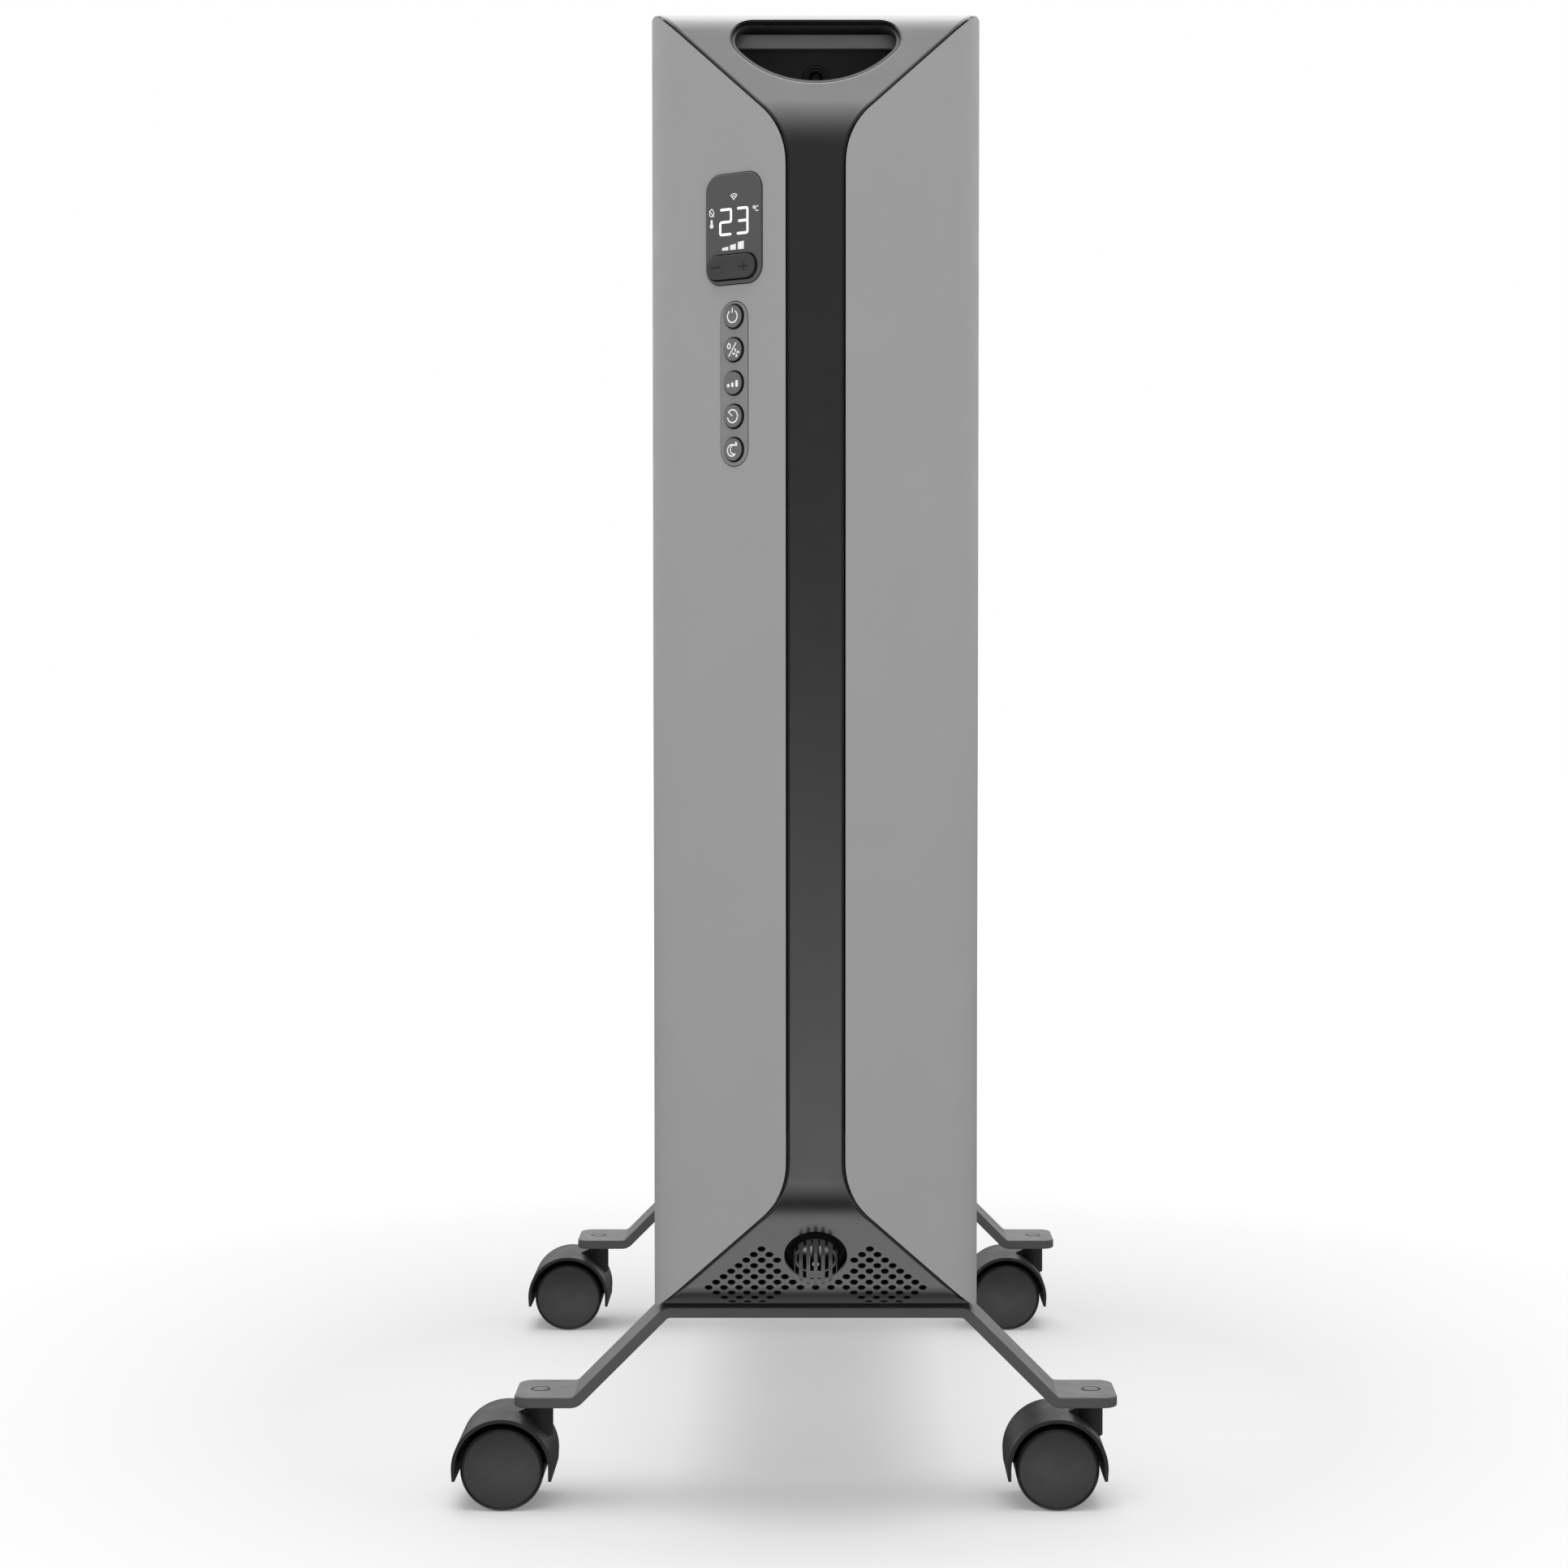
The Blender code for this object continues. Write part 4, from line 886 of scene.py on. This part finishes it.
def build_display(face, finish):
    window = stacked(display_outline, [(0.0, -PANEL_WALL)] + rounded_top(DISPLAY_PROUD, 0.0006))
    opening_levels = [(0.0004, -0.01), (0.0004, DISPLAY_PROUD - 0.0003), (0.0007, DISPLAY_PROUD + 0.00005),
                      (0.0007, 0.01)]
    opening = stacked(rocker_opening, opening_levels)
    piece("display_window", solid(window, ("DIFFERENCE", opening)), finish["display"], nodes=["display_lens"],
          place=face, sharp=32)

    top = DISPLAY_PROUD
    marks_place = face @ at(0.00075, 0, 0)
    two = [(-7.7, 582.8), (-1.7, 582.8), (-1.7, 577.4), (-7.7, 577.4), (-7.7, 572.0), (-1.5, 572.0)]
    three = [(1.7, 582.8), (7.4, 582.8), (7.4, 572.0), (1.5, 572.0)]
    bar = [(2.2, 577.4), (7.2, 577.4)]
    digits = [filleted(millimetres(path), 0.0009) for path in (two, three, bar)]
    piece("display_digits", ridges(digits, 0.00112, top), finish["digits"],
          place=marks_place)

    unit = [circle_mm(0.5, (11.0, 582.6), 16), arc_mm(1.05, 50, 310, (12.8, 581.9))]
    flame = [(-12.5, 583.9), (-11.4, 582.4), (-11.2, 581.3), (-11.9, 580.4), (-13.1, 580.4), (-13.8, 581.3),
             (-13.6, 582.4)]
    slash = [(-13.9, 583.1), (-11.1, 580.1)]
    wedge = millimetres([(-0.1, 586.8)]) + arc_mm(2.5, 48, 132, (-0.1, 586.8), 8)
    waves = [arc_mm(1.5, 52, 128, (-0.1, 586.8), 8)]
    marks = [unit[0], unit[1], filleted(millimetres(flame), 0.0008, closed=True), millimetres(slash), wedge]
    piece("display_marks", ridges(marks + waves, 0.00042, top, closed=(0, 2, 4)), finish["icons"],
          place=marks_place)

    solids = [prism(circle_mm(1.0, (-12.5, 576.2), 20), top - 0.0001, top + 0.00008),
              prism(rounded_rectangle((0.0011, 0.0026), 0.0005, (-0.0125, 0.5777), segments=4),
                    top - 0.0001, top + 0.00010)]
    for left, right, height in ((-6.6, -3.2, 566.3), (-2.2, 1.0, 567.2), (2.1, 5.4, 568.2)):
        outline = millimetres([(left, 565.1), (right, 565.1), (right, height + 0.4), (left, height)])
        solids.append(prism(outline, top - 0.0001, top + 0.00008))
    piece("display_bars", joined(solids), finish["icons"], place=marks_place)


def with_painted_side_shade(name, mesh, top, sides):
    """Mesh data with one finish where it faces out of the panel and another round its sides; the sides'
    darker finish is painted shade.
    """
    return two_finishes(mesh_data(name, mesh), top, sides, lambda polygon: polygon.normal.z <= 0.6)


def build_rocker(face, finish):
    place = face @ at(*ROCKER_CENTRE, 0)
    levels = [(0.0, -0.0050), (0.0, -0.0002)] + rounded_top(ROCKER_PROUD, 0.0005)
    # painted shade: the key's sides take the dark mark finish
    key = with_painted_side_shade("rocker_key", stacked(rocker_outline, levels), finish["rocker"], finish["mark_print_and_side_shade"])
    piece("rocker_key", key, finish["rocker"], "rocker_button", ["rocker_button"], place,
          sharp=40)
    minus = millimetres([(-11.3 + 0.5, 0.3), (-5.8 + 0.5, 0.3)])
    plus_across = millimetres([(4.4 + 0.5, -0.2), (9.6 + 0.5, -0.2)])
    plus_down = millimetres([(6.9 + 0.6, -2.4), (6.9 + 0.6, 2.0)])
    marks = ridges([minus, plus_across, plus_down], 0.0009, ROCKER_PROUD)
    piece("rocker_marks", marks, finish["mark_print_and_side_shade"], "rocker_button", place=place)


def button_icons():
    """Paths of each button's icon about its centre, and which of them close on themselves."""
    moon = arc_mm(2.5, 60, 300, (-0.3, -0.4), 18) + arc_mm(2.0, 285, 75, (0.8, -0.1), 14)
    drop = [(1.9, 3.1), (2.5, 2.1), (1.9, 1.5), (1.3, 2.1)]
    mode_flame = [(-1.9, 3.0), (-1.0, 1.7), (-1.2, 0.6), (-2.6, 0.6), (-2.8, 1.7)]
    slash = millimetres([(-2.1, -3.0), (2.1, 3.0)])
    blades = fan_blades((1.9, -1.5), 1.7)
    bars = ((-2.3, 1.7), (0.0, 2.2), (2.3, 3.1))
    return {
        "power": ([arc_mm(2.7, 122, 418), millimetres([(0.0, 1.4), (0.0, 3.6)])], ()),
        "mode": ([filleted(millimetres(mode_flame), 0.0006, closed=True), slash, *blades], (0,)),
        "heat": ([millimetres([(x, -1.9), (x, -1.9 + height)]) for x, height in bars], ()),
        "timer": ([arc_mm(2.8, 150, -170, segments=20), millimetres([(0.0, 0.0), (-1.7, 1.5)])], ()),
        "night": ([moon, filleted(millimetres(drop), 0.0004, closed=True)], (0, 1)),
    }


def build_buttons(face, finish):
    icons = button_icons()
    heights = {name: BUTTON_TOP_Z - i * BUTTON_PITCH for i, name in enumerate(icons)}
    plate = stacked(strip_outline, [(0.0, STRIP_PROUD - 0.002)] + rounded_top(STRIP_PROUD, 0.0004))
    holes = joined([flared_hole(BUTTON_RADIUS + 0.0005, STRIP_PROUD, 0.012, 0.0003, 48, (0.0, z))
                    for z in heights.values()])
    piece("button_surround", solid(plate, ("DIFFERENCE", holes)), finish["surround"], nodes=["button_strip"],
          place=face, sharp=32)
    profile = [(0.0030, -0.0070), (0.0030, -0.0040), (0.0062, -0.0040), (0.0062, -0.0030)]
    profile += [(BUTTON_RADIUS, -0.0030)]
    profile += [(BUTTON_RADIUS + grow, height) for grow, height in rounded_top(BUTTON_PROUD - 0.0001, 0.0006)]
    profile += [(0.0030, BUTTON_PROUD - 0.00004), (0.0012, BUTTON_PROUD)]
    # painted shade: the caps' sides take the dark mark finish
    cap = with_painted_side_shade("button_cap", lathe(profile, 48), finish["button"], finish["mark_print_and_side_shade"])
    for name, height in heights.items():
        place = face @ at(0, height, 0)
        body = f"button_{name}"
        piece(f"{name}_cap", cap, finish["button"], body, [body], place, sharp=40)
        paths, closed = icons[name]
        width = 0.0015 if name == "heat" else 0.00060
        marks = ridges(paths, width, BUTTON_PROUD - 0.00006, closed)
        piece(f"{name}_icon", marks, finish["icons"], body, place=place)


def build_sensor(finish):
    """The cage over the room thermostat's probe: a cap cut into ribs by slots that run up the slope."""
    place = sensor_frame()
    profile = [
        (0.0045, 0.0094), (0.0074, 0.0086), (0.0084, 0.0070), (0.0084, -0.0042), (0.0164, -0.0042),
        (0.0164, -0.0034), (0.0112, -0.0034), (0.0102, -0.0022), (0.0097, -0.0012), (0.0096, 0.0074),
        (0.0093, 0.0088), (0.0086, 0.0099), (0.0074, 0.0106), (0.0058, 0.0109), (0.0030, 0.0110),
    ]
    reach, half_band, half_slot = 0.0130, 0.0023, 0.0008
    cutters = []
    for across in (0.0049, 0.0082):
        for side in (-1, 1):
            low, high = sorted((side * across - half_slot, side * across + half_slot))
            cutters.append(box((low, -reach, 0.0018), (high, reach, reach)))
    for across in (-0.00162, 0.00162):
        for side in (-1, 1):
            low, high = sorted((side * half_band, side * reach))
            cutters.append(box((across - half_slot, low, 0.0018), (across + half_slot, high, reach)))

    # painted shade: the cage's inner faces and its base in the recess take the near-black shade finish
    def is_inner(polygon):
        inside = polygon.center.xy.length < 0.0090 and polygon.normal.z < 0.3
        return inside or polygon.center.z < 0.0008

    data = solid(lathe(profile, 96), ("DIFFERENCE", joined(cutters)))
    data = two_finishes(data, finish["cage"], finish["shade"], is_inner)
    piece("sensor_cap", data, finish["cage"], nodes=["sensor_cage"], place=place,
          sharp=35)


def build_gland(finish):
    profile = [
        (0.0038, 0.0001), (0.0066, 0.0001), (0.0070, -0.0003), (0.0070, -0.0025), (0.0088, -0.0025),
        (0.0092, -0.0029), (0.0092, -0.0051), (0.0088, -0.0055), (0.0038, -0.0055),
    ]
    piece("cord_grommet", lathe(profile, 48, "X", loop=True), finish["rubber"], nodes=["cord_gland"],
          place=at(*GLAND), sharp=40)


# ---------------------------------------------------------------- oil fins
def fin_ring(height):
    """One fin's outline at a height: it rounds off and flattens towards its top and bottom."""
    corner, shoulder = 0.0080, 0.0260
    to_end = min(height - FIN_BOTTOM, FIN_TOP - height)
    u = max(0.0, 1 - to_end / corner)
    trim = corner * (1 - sqrt(max(0.0, 1 - u * u)))
    ease = min(1.0, max(0.0, to_end / shoulder))
    oil = FIN_SHEET + (OIL_HALF_DEPTH - FIN_SHEET) * ease * ease * (3 - 2 * ease)
    edge = FIN_HALF_WIDTH - trim
    flange = FIN_FLANGE - trim
    fillet = 0.0024
    quarter = [(OIL_HALF_WIDTH * 0.30, oil * 0.985), (OIL_HALF_WIDTH - 0.0090, oil * 0.97)]
    quarter += [(OIL_HALF_WIDTH - 0.0060, oil * 0.90), (OIL_HALF_WIDTH - 0.0030, oil * 0.55 + 0.0002)]
    quarter += [(OIL_HALF_WIDTH - 0.0005, 0.0009), (OIL_HALF_WIDTH + 0.0020, FIN_SHEET)]
    bend_centre = (edge - FIN_SHEET - fillet, FIN_SHEET + fillet)
    quarter += arc(bend_centre, fillet, -pi / 2, 0, 5)
    quarter += [(edge - FIN_SHEET, flange * 0.66), (edge - FIN_SHEET - 0.0004, flange * 0.85)]
    quarter += [(edge - FIN_SHEET - 0.0014, flange - 0.0002), (edge - 0.0012, flange)]
    quarter += [(edge - 0.0005, flange * 0.90), (edge - 0.0001, flange * 0.76), (edge, flange * 0.60)]
    quarter += [(edge, 0.0014), (edge - 0.0003, 0.0006), (edge - 0.0009, 0.00015)]
    right = quarter + [(x, -y) for x, y in reversed(quarter)]
    whole = right + [(-x, -y) for x, y in right]
    return [Vector((x, y, height)) for x, y in whole]


def build_fins(finish):
    near_end = (0.0, 0.0006, 0.0014, 0.0026, 0.0042, 0.0060, 0.0080, 0.0120, 0.0160, 0.0200, 0.0230, 0.0260)
    heights = [FIN_BOTTOM + h for h in near_end] + [FIN_TOP - h for h in reversed(near_end)]
    reach = FIN_PITCH / 2 - GAP / 2
    neck = [
        (COLLAR_RADIUS, -reach), (COLLAR_RADIUS, -0.0092), (COLLAR_RADIUS + 0.0006, -0.0078),
        (COLLAR_RADIUS + 0.0022, -0.0066), (COLLAR_RADIUS + 0.0022, 0.0066), (COLLAR_RADIUS + 0.0006, 0.0078),
        (COLLAR_RADIUS, 0.0092), (COLLAR_RADIUS, reach),
    ]
    collars = [("UNION", moved(lathe(neck, 48, "Y"), at(0, 0, height))) for height in COLLAR_HEIGHTS]
    data = solid(loft([fin_ring(height) for height in heights]), *collars)
    for i in range(FIN_COUNT):
        offset = (i - (FIN_COUNT - 1) / 2) * FIN_PITCH
        piece(f"oil_fin_{i + 1}", data, finish["fin"], nodes=[f"fin_{i + 1}"],
              place=at(0, offset, 0), sharp=40)


# ---------------------------------------------------------------- feet
def bend(corner, side, radius):
    """Round a 45 degree fold: side is 1 where the strip turns down, -1 where it turns level again."""
    reach = radius * tan(pi / 8)
    if side > 0:
        return arc((corner[0] - reach, corner[1] - radius), radius, pi / 2, pi / 4, 10)
    return arc((corner[0] + reach, corner[1] + radius), radius, -3 * pi / 4, -pi / 2, 10)


def foot_outline():
    fall = FOOT_MIDDLE_BOTTOM - FOOT_PLATE_BOTTOM
    shift = FOOT_SHEET * tan(pi / 8)
    under = [(FOOT_UNDER_BEND_X, FOOT_MIDDLE_BOTTOM), (FOOT_UNDER_BEND_X + fall, FOOT_PLATE_BOTTOM)]
    upper = [(x + shift, z + FOOT_SHEET) for x, z in under]
    inside, outside = 0.0030, 0.0030 + FOOT_SHEET
    right = bend(under[0], 1, inside) + bend(under[1], -1, outside)
    right += [(FOOT_HALF_LENGTH, FOOT_PLATE_BOTTOM), (FOOT_HALF_LENGTH, FOOT_PLATE_BOTTOM + FOOT_SHEET)]
    right += bend(upper[1], -1, inside)[::-1] + bend(upper[0], 1, outside)[::-1]
    left = [(-x, z) for x, z in reversed(right)]
    return right + left


def build_feet(finish):
    strip = prism(foot_outline(), -FOOT_DEPTH / 2, FOOT_DEPTH / 2, "Y")
    corners = [
        edge for edge in strip.edges
        if all(abs(abs(v.co.x) - FOOT_HALF_LENGTH) < GAP for v in edge.verts)
        and abs(edge.verts[0].co.z - edge.verts[1].co.z) > GAP
    ]
    bmesh.ops.bevel(strip, geom=corners, offset=FOOT_CORNER, segments=12, profile=0.5, affect="EDGES")
    holes = [disc(0.00420, 0.03, 0.06, 40, (side * STEM_X, 0.0)) for side in (-1, 1)]
    holes += [disc(0.0029, 0.08, 0.10, 24, (side * FOOT_BOLT_X, 0.0)) for side in (-1, 1)]
    data = solid(strip, ("DIFFERENCE", joined(holes)))
    profile = [(0.0046, -BOLT_HEAD), (0.0050, 0.0004 - BOLT_HEAD), (0.0050, -GAP), (0.0025, -GAP),
               (0.0025, 0.0150)]
    bolt = mesh_data("foot_bolt", lathe(profile, 24))
    for end, word in ENDS:
        bar = piece(f"{word}_foot_strip", data, finish["foot"], nodes=[f"{word}_foot_bar"],
                    place=at(0, end * STEM_Y, 0), bevel=0.0007)
        bar.visible_glossy = False
    for end, end_word in ENDS:
        for side, side_word in SIDES:
            name = f"{end_word}_foot_bolt_{side_word}"
            place = at(side * FOOT_BOLT_X, end * STEM_Y, FOOT_MIDDLE_BOTTOM)
            screw = piece(f"{name}_turned", bolt, finish["black_steel"], nodes=[name],
                          place=place, sharp=40)
            screw.visible_glossy = False


# ---------------------------------------------------------------- castors
def fork_data():
    """Hood, web and stem boss in one moulding, about the stem's axis; the wheels trail towards -X."""
    height = WHEEL_RADIUS
    lifted = height + HOOD_LIFT
    segments = 48
    chamfer = 0.0003
    outer = [(HOOD_OUTER - chamfer, -HOOD_LEG)] + arc((0, 0), HOOD_OUTER, 0, pi, segments)
    outer.append((chamfer - HOOD_OUTER, -HOOD_LEG))
    inner = [(-HOOD_INNER, -HOOD_LEG)] + arc((0, 0), HOOD_INNER, pi, 0, segments) + [(HOOD_INNER, -HOOD_LEG)]
    hood = prism([(x - TRAIL, z + lifted) for x, z in outer + inner], -HOOD_HALF_DEPTH, HOOD_HALF_DEPTH, "Y")
    web_outline = [(0.0050, -0.0050)] + arc((0, 0), HOOD_OUTER - 0.0008, 0, pi, 32) + [(-0.0050, -0.0050)]
    web = prism([(x - TRAIL, z + height) for x, z in web_outline], -WEB_HALF, WEB_HALF, "Y")
    gusset_half = WEB_HALF - 0.0002
    gusset_top = BOSS_TOP - 0.001
    gusset_outline = [
        (-0.0150, height + 0.0205), (-0.0045, gusset_top), (0.0, gusset_top), (0.0, height + 0.010),
    ]
    gusset = prism(gusset_outline, -gusset_half, gusset_half, "Y")
    reach = HOOD_HALF_DEPTH + 0.002
    wheel_room = disc(HOOD_INNER - 0.0004, -reach, reach, 2 * segments, (-TRAIL, lifted), "Y")
    boss = disc(BOSS_RADIUS, height + 0.012, BOSS_TOP, 40)
    bore = disc(STEM_BORE, 0.0375, BOSS_TOP + 0.002, 40)
    axle_hole = disc(0.0027, -0.01, 0.01, 24, (-TRAIL, height), "Y")
    return solid(hood, ("UNION", boss), ("DIFFERENCE", wheel_room), ("UNION", web), ("UNION", gusset),
                 ("DIFFERENCE", joined([bore, axle_hole])))


def wheel_data(side):
    """One half of a twin wheel: a rounded tread, a groove round its face and a shallow dome."""
    dome = [(r, 0.0185 + 0.0015 * (1 - (r / 0.0177) ** 2)) for r in
            (0.0168, 0.0150, 0.0130, 0.0110, 0.0090, 0.0070, 0.0050, 0.0030, 0.0012)]
    profile = [
        (0.0027, 0.0160), (0.0027, 0.0028), (0.0172, 0.0028), (0.0184, 0.0032), (0.0190, 0.0042),
        (0.0190, 0.0172), (0.0187, 0.0181), (0.0181, 0.0185), (0.0179, 0.0183), (0.0178, 0.0181),
        (0.0177, 0.0183), (0.0175, 0.0185),
    ] + dome
    return lathe([(radius, side * y) for radius, y in profile], 72, "Y")


def build_castors(finish):
    stem = mesh_data("stem_turned", lathe(
        [(0.0028, 0.0521), (0.0034, 0.0520), (0.0037, 0.0518), (0.0038, 0.0515), (0.0038, 0.0468),
         (0.0054, 0.0468), (0.0054, 0.0459), (0.0036, 0.0459), (0.0036, 0.0380)], 40))
    fork = fork_data()
    wheels = {side: mesh_data("wheel_half", wheel_data(side)) for side in (-1, 1)}
    for end, end_word in ENDS:
        for side, side_word in SIDES:
            name = f"{end_word}_{side_word}"
            place = at(side * STEM_X, end * STEM_Y, 0)
            hub = place @ at(-TRAIL, 0, WHEEL_RADIUS)
            piece(f"{name}_pin", stem, finish["foot"], nodes=[f"{name}_stem"],
                  place=place)
            piece(f"{name}_hood", fork, finish["hood"], f"{name}_castor", [f"{name}_fork"],
                  place, bevel=0.0004)
            for direction, word in ((end, "outer"), (-end, "inner")):
                node = f"{name}_wheel_{word}"
                piece(f"{name}_{word}_roller", wheels[direction], finish["wheel"], node, [node],
                      hub, sharp=40)


# ---------------------------------------------------------------- carried-over CAD nodes
def refinish(finish):
    choices = {
        "steel": ["heating_element", "rear_end_plate", "sensor_probe", "thermal_cutout"]
        + [f"{end}_{side}_axle" for _, end in ENDS for _, side in SIDES],
        "brass": ["filler_plug"],
        # painted shade: the hidden front end plate, seen only through the vents, is made near black
        "shade": ["front_end_plate"],
        "board": ["control_board"],
        "dark": ["tilt_switch"],
    }
    for key, names in choices.items():
        for name in names:
            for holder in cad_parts[name].material_slots:
                holder.material = finish[key]


# ---------------------------------------------------------------- studio
FLOOR_HALF_LENGTH = 8.0
FLOOR_GREY = 0.76
FLOOR_REACH = 1.6
# the floor's own light, painted: a glow that dips near the heater and grows towards the edge: (share of
# FLOOR_REACH from the middle, brightness)
FLOOR_PAINTED_LIGHT = ((0.0, 0.30), (0.09, 0.28), (0.17, 0.16), (0.34, 0.20), (0.65, 0.42), (1.0, 0.64))


def build_floor():
    finish, tree, shader = new_material("studio_floor", grey(FLOOR_GREY), 0.9, specular=0.0)
    distance = add_node(tree, "VectorMath", {0: object_place(tree)})
    distance.operation = "LENGTH"
    share = combined(tree, "MULTIPLY", distance.outputs["Value"], 1 / FLOOR_REACH)
    set_inputs(tree, shader, {
        "Base Color": tint(tree, noise(tree, 3.0, 3.0), grey(FLOOR_GREY), 0.005),
        "Emission Color": WHITE,
        # painted light: the floor glows, less near the heater and more further out
        "Emission Strength": banded(tree, share, FLOOR_PAINTED_LIGHT),
    })
    far = FLOOR_HALF_LENGTH
    corners = [(-far, -far, 0), (far, -far, 0), (far, far, 0), (-far, far, 0)]
    mesh = bmesh.new()
    mesh.faces.new([mesh.verts.new(corner) for corner in corners])
    data = mesh_data("floor", mesh)
    data.materials.append(finish)
    floor = placed("floor", data)
    floor.visible_glossy = False


# the studio seen in glossy surfaces: (sine of the elevation, brightness), floor to ceiling
STUDIO_BANDS = (
    (-1.0, 1.15), (-0.974, 1.10), (-0.914, 0.80), (-0.85, 0.32), (-0.77, 0.15), (-0.70, 0.17),
    (-0.62, 0.28), (-0.515, 0.52), (-0.40, 0.71), (-0.286, 0.95), (-0.168, 0.95), (-0.103, 0.65),
    (-0.041, 0.386), (0.0, 0.28),
    (0.05, 0.20), (0.20, 0.22), (0.41, 0.33), (0.559, 0.50), (0.695, 0.78), (0.809, 1.15), (0.903, 1.5),
    (0.968, 1.97), (0.99, 2.1), (1.0, 2.5),
)
# the same for directions away behind the heater: (Y of the direction, brightness)
BACKDROP_BANDS = ((0.0, 0.0), (0.06, 1.6), (0.16, 2.5), (0.40, 3.0), (0.68, 3.2), (0.90, 1.7), (1.0, 1.05))
BELOW_HORIZON = 0.06       # share of the backdrop's brightness left under the horizon
HORIZON = (-0.05, 0.05)    # sines of the elevation between which that share is reached
AHEAD_END = 0.35           # the bands fade by this Y of the direction
AHEAD_SHARE = 0.15         # to this share
SIDE_END = 0.6             # the glossy studio fades sideways by this X of the direction
SIDE_SHARE = 0.5           # to this share
SOFT_SIDE_SHARE = 0.38     # share of the matt surfaces' light that comes straight from the sides
SOFT_BACK = (-0.2, 0.6)    # that light fades backwards between these Y of the direction
SOFT_BACK_SHARE = 0.65     # to this share


def banded(tree, place, bands):
    """A brightness that follows (place, level) bands as the place runs from 0 to 1."""
    brightest = max(level for _, level in bands)
    ramp = add_node(tree, "ValToRGB", {"Fac": place})
    stops = ramp.color_ramp.elements
    for i, (spot, level) in enumerate(bands):
        stop = stops[i] if i < 2 else stops.new(spot)
        stop.position = spot
        stop.color = (*grey(level / brightest), 1.0)
    return combined(tree, "MULTIPLY", ramp.outputs["Color"], brightest)


def build_world():
    """Even light for matt surfaces, the bands for glossy ones, and plain white for the camera."""
    world = bpy.data.worlds.new("studio")
    bpy.context.scene.world = world
    world.use_nodes = True
    world.cycles.sampling_method = "NONE"  # sampled as a light, it would lose its split by ray type
    tree = world.node_tree
    tree.nodes.clear()
    direction = add_node(tree, "TexCoord").outputs["Generated"]
    across, along, up = add_node(tree, "SeparateXYZ", {"Vector": direction}).outputs
    sideways = combined(tree, "ABSOLUTE", across)

    def faded(level, value, before, after):
        return combined(tree, "MULTIPLY", level, remapped(tree, value, before, after))

    bands = [((sine + 1) / 2, level) for sine, level in STUDIO_BANDS]
    front = banded(tree, remapped(tree, up, (-1.0, 1.0), (0.0, 1.0)), bands)
    front = faded(front, along, (0.0, AHEAD_END), (1.0, AHEAD_SHARE))
    behind = faded(banded(tree, along, BACKDROP_BANDS), up, HORIZON, (BELOW_HORIZON, 1.0))
    bright = combined(tree, "MAXIMUM", front, behind)
    bright = faded(bright, sideways, (0.0, SIDE_END), (1.0, SIDE_SHARE))
    even = remapped(tree, sideways, (0.0, 1.0), (1.0, SOFT_SIDE_SHARE))
    even = faded(even, along, SOFT_BACK, (1.0, SOFT_BACK_SHARE))

    glossy, soft, backdrop = [
        add_node(tree, "Background", {"Color": WHITE, "Strength": strength}).outputs["Background"]
        for strength in (bright, even, 1.0)
    ]
    rays = add_node(tree, "LightPath").outputs
    light = add_node(tree, "MixShader", {"Fac": rays["Is Glossy Ray"], 1: soft, 2: glossy})
    seen = {"Fac": rays["Is Camera Ray"], 1: light.outputs["Shader"], 2: backdrop}
    add_node(tree, "OutputWorld", {"Surface": add_node(tree, "MixShader", seen).outputs["Shader"]})


# the overhead lamp, and a camera fitted to the photo's view
LAMP_SIZE = 2.6
LAMP_WATTS = 42.0
LAMP_PLACE = (0.0, -0.3, 2.7)
CAMERA_SENSOR = 36.0       # millimetres, like the lens
CAMERA_LENS = 70.2
CAMERA_SHIFT = -0.0202
CAMERA_PLACE = (0.0, -1.5801, 0.3878)
CAMERA_DOWN = 2.3708       # degrees below level


def build_lights():
    data = bpy.data.lights.new("overhead", "AREA")
    data.shape = "DISK"
    data.size = LAMP_SIZE
    data.energy = LAMP_WATTS
    overhead = placed("overhead", data)
    overhead.location = LAMP_PLACE
    overhead.visible_glossy = False


def build_camera():
    data = bpy.data.cameras.new("camera")
    data.sensor_width = CAMERA_SENSOR
    data.lens = CAMERA_LENS
    data.shift_x = CAMERA_SHIFT
    camera = placed("camera", data)
    camera.location = CAMERA_PLACE
    camera.rotation_euler = (radians(90 - CAMERA_DOWN), 0.0, 0.0)
    bpy.context.scene.camera = camera


# ---------------------------------------------------------------- everything
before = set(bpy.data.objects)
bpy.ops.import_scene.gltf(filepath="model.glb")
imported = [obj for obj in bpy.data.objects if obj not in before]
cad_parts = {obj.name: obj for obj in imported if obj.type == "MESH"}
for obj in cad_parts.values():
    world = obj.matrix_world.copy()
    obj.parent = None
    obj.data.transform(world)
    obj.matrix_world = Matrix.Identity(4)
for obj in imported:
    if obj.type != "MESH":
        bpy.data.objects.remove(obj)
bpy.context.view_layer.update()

finishes = make_finishes()
control_place = control_face()
build_covers(control_place, finishes)
build_display(control_place, finishes)
build_rocker(control_place, finishes)
build_buttons(control_place, finishes)
build_sensor(finishes)
build_gland(finishes)
build_fins(finishes)
build_feet(finishes)
build_castors(finishes)
refinish(finishes)
build_floor()
build_world()
build_lights()
build_camera()
bpy.context.scene.view_settings.view_transform = "Standard"
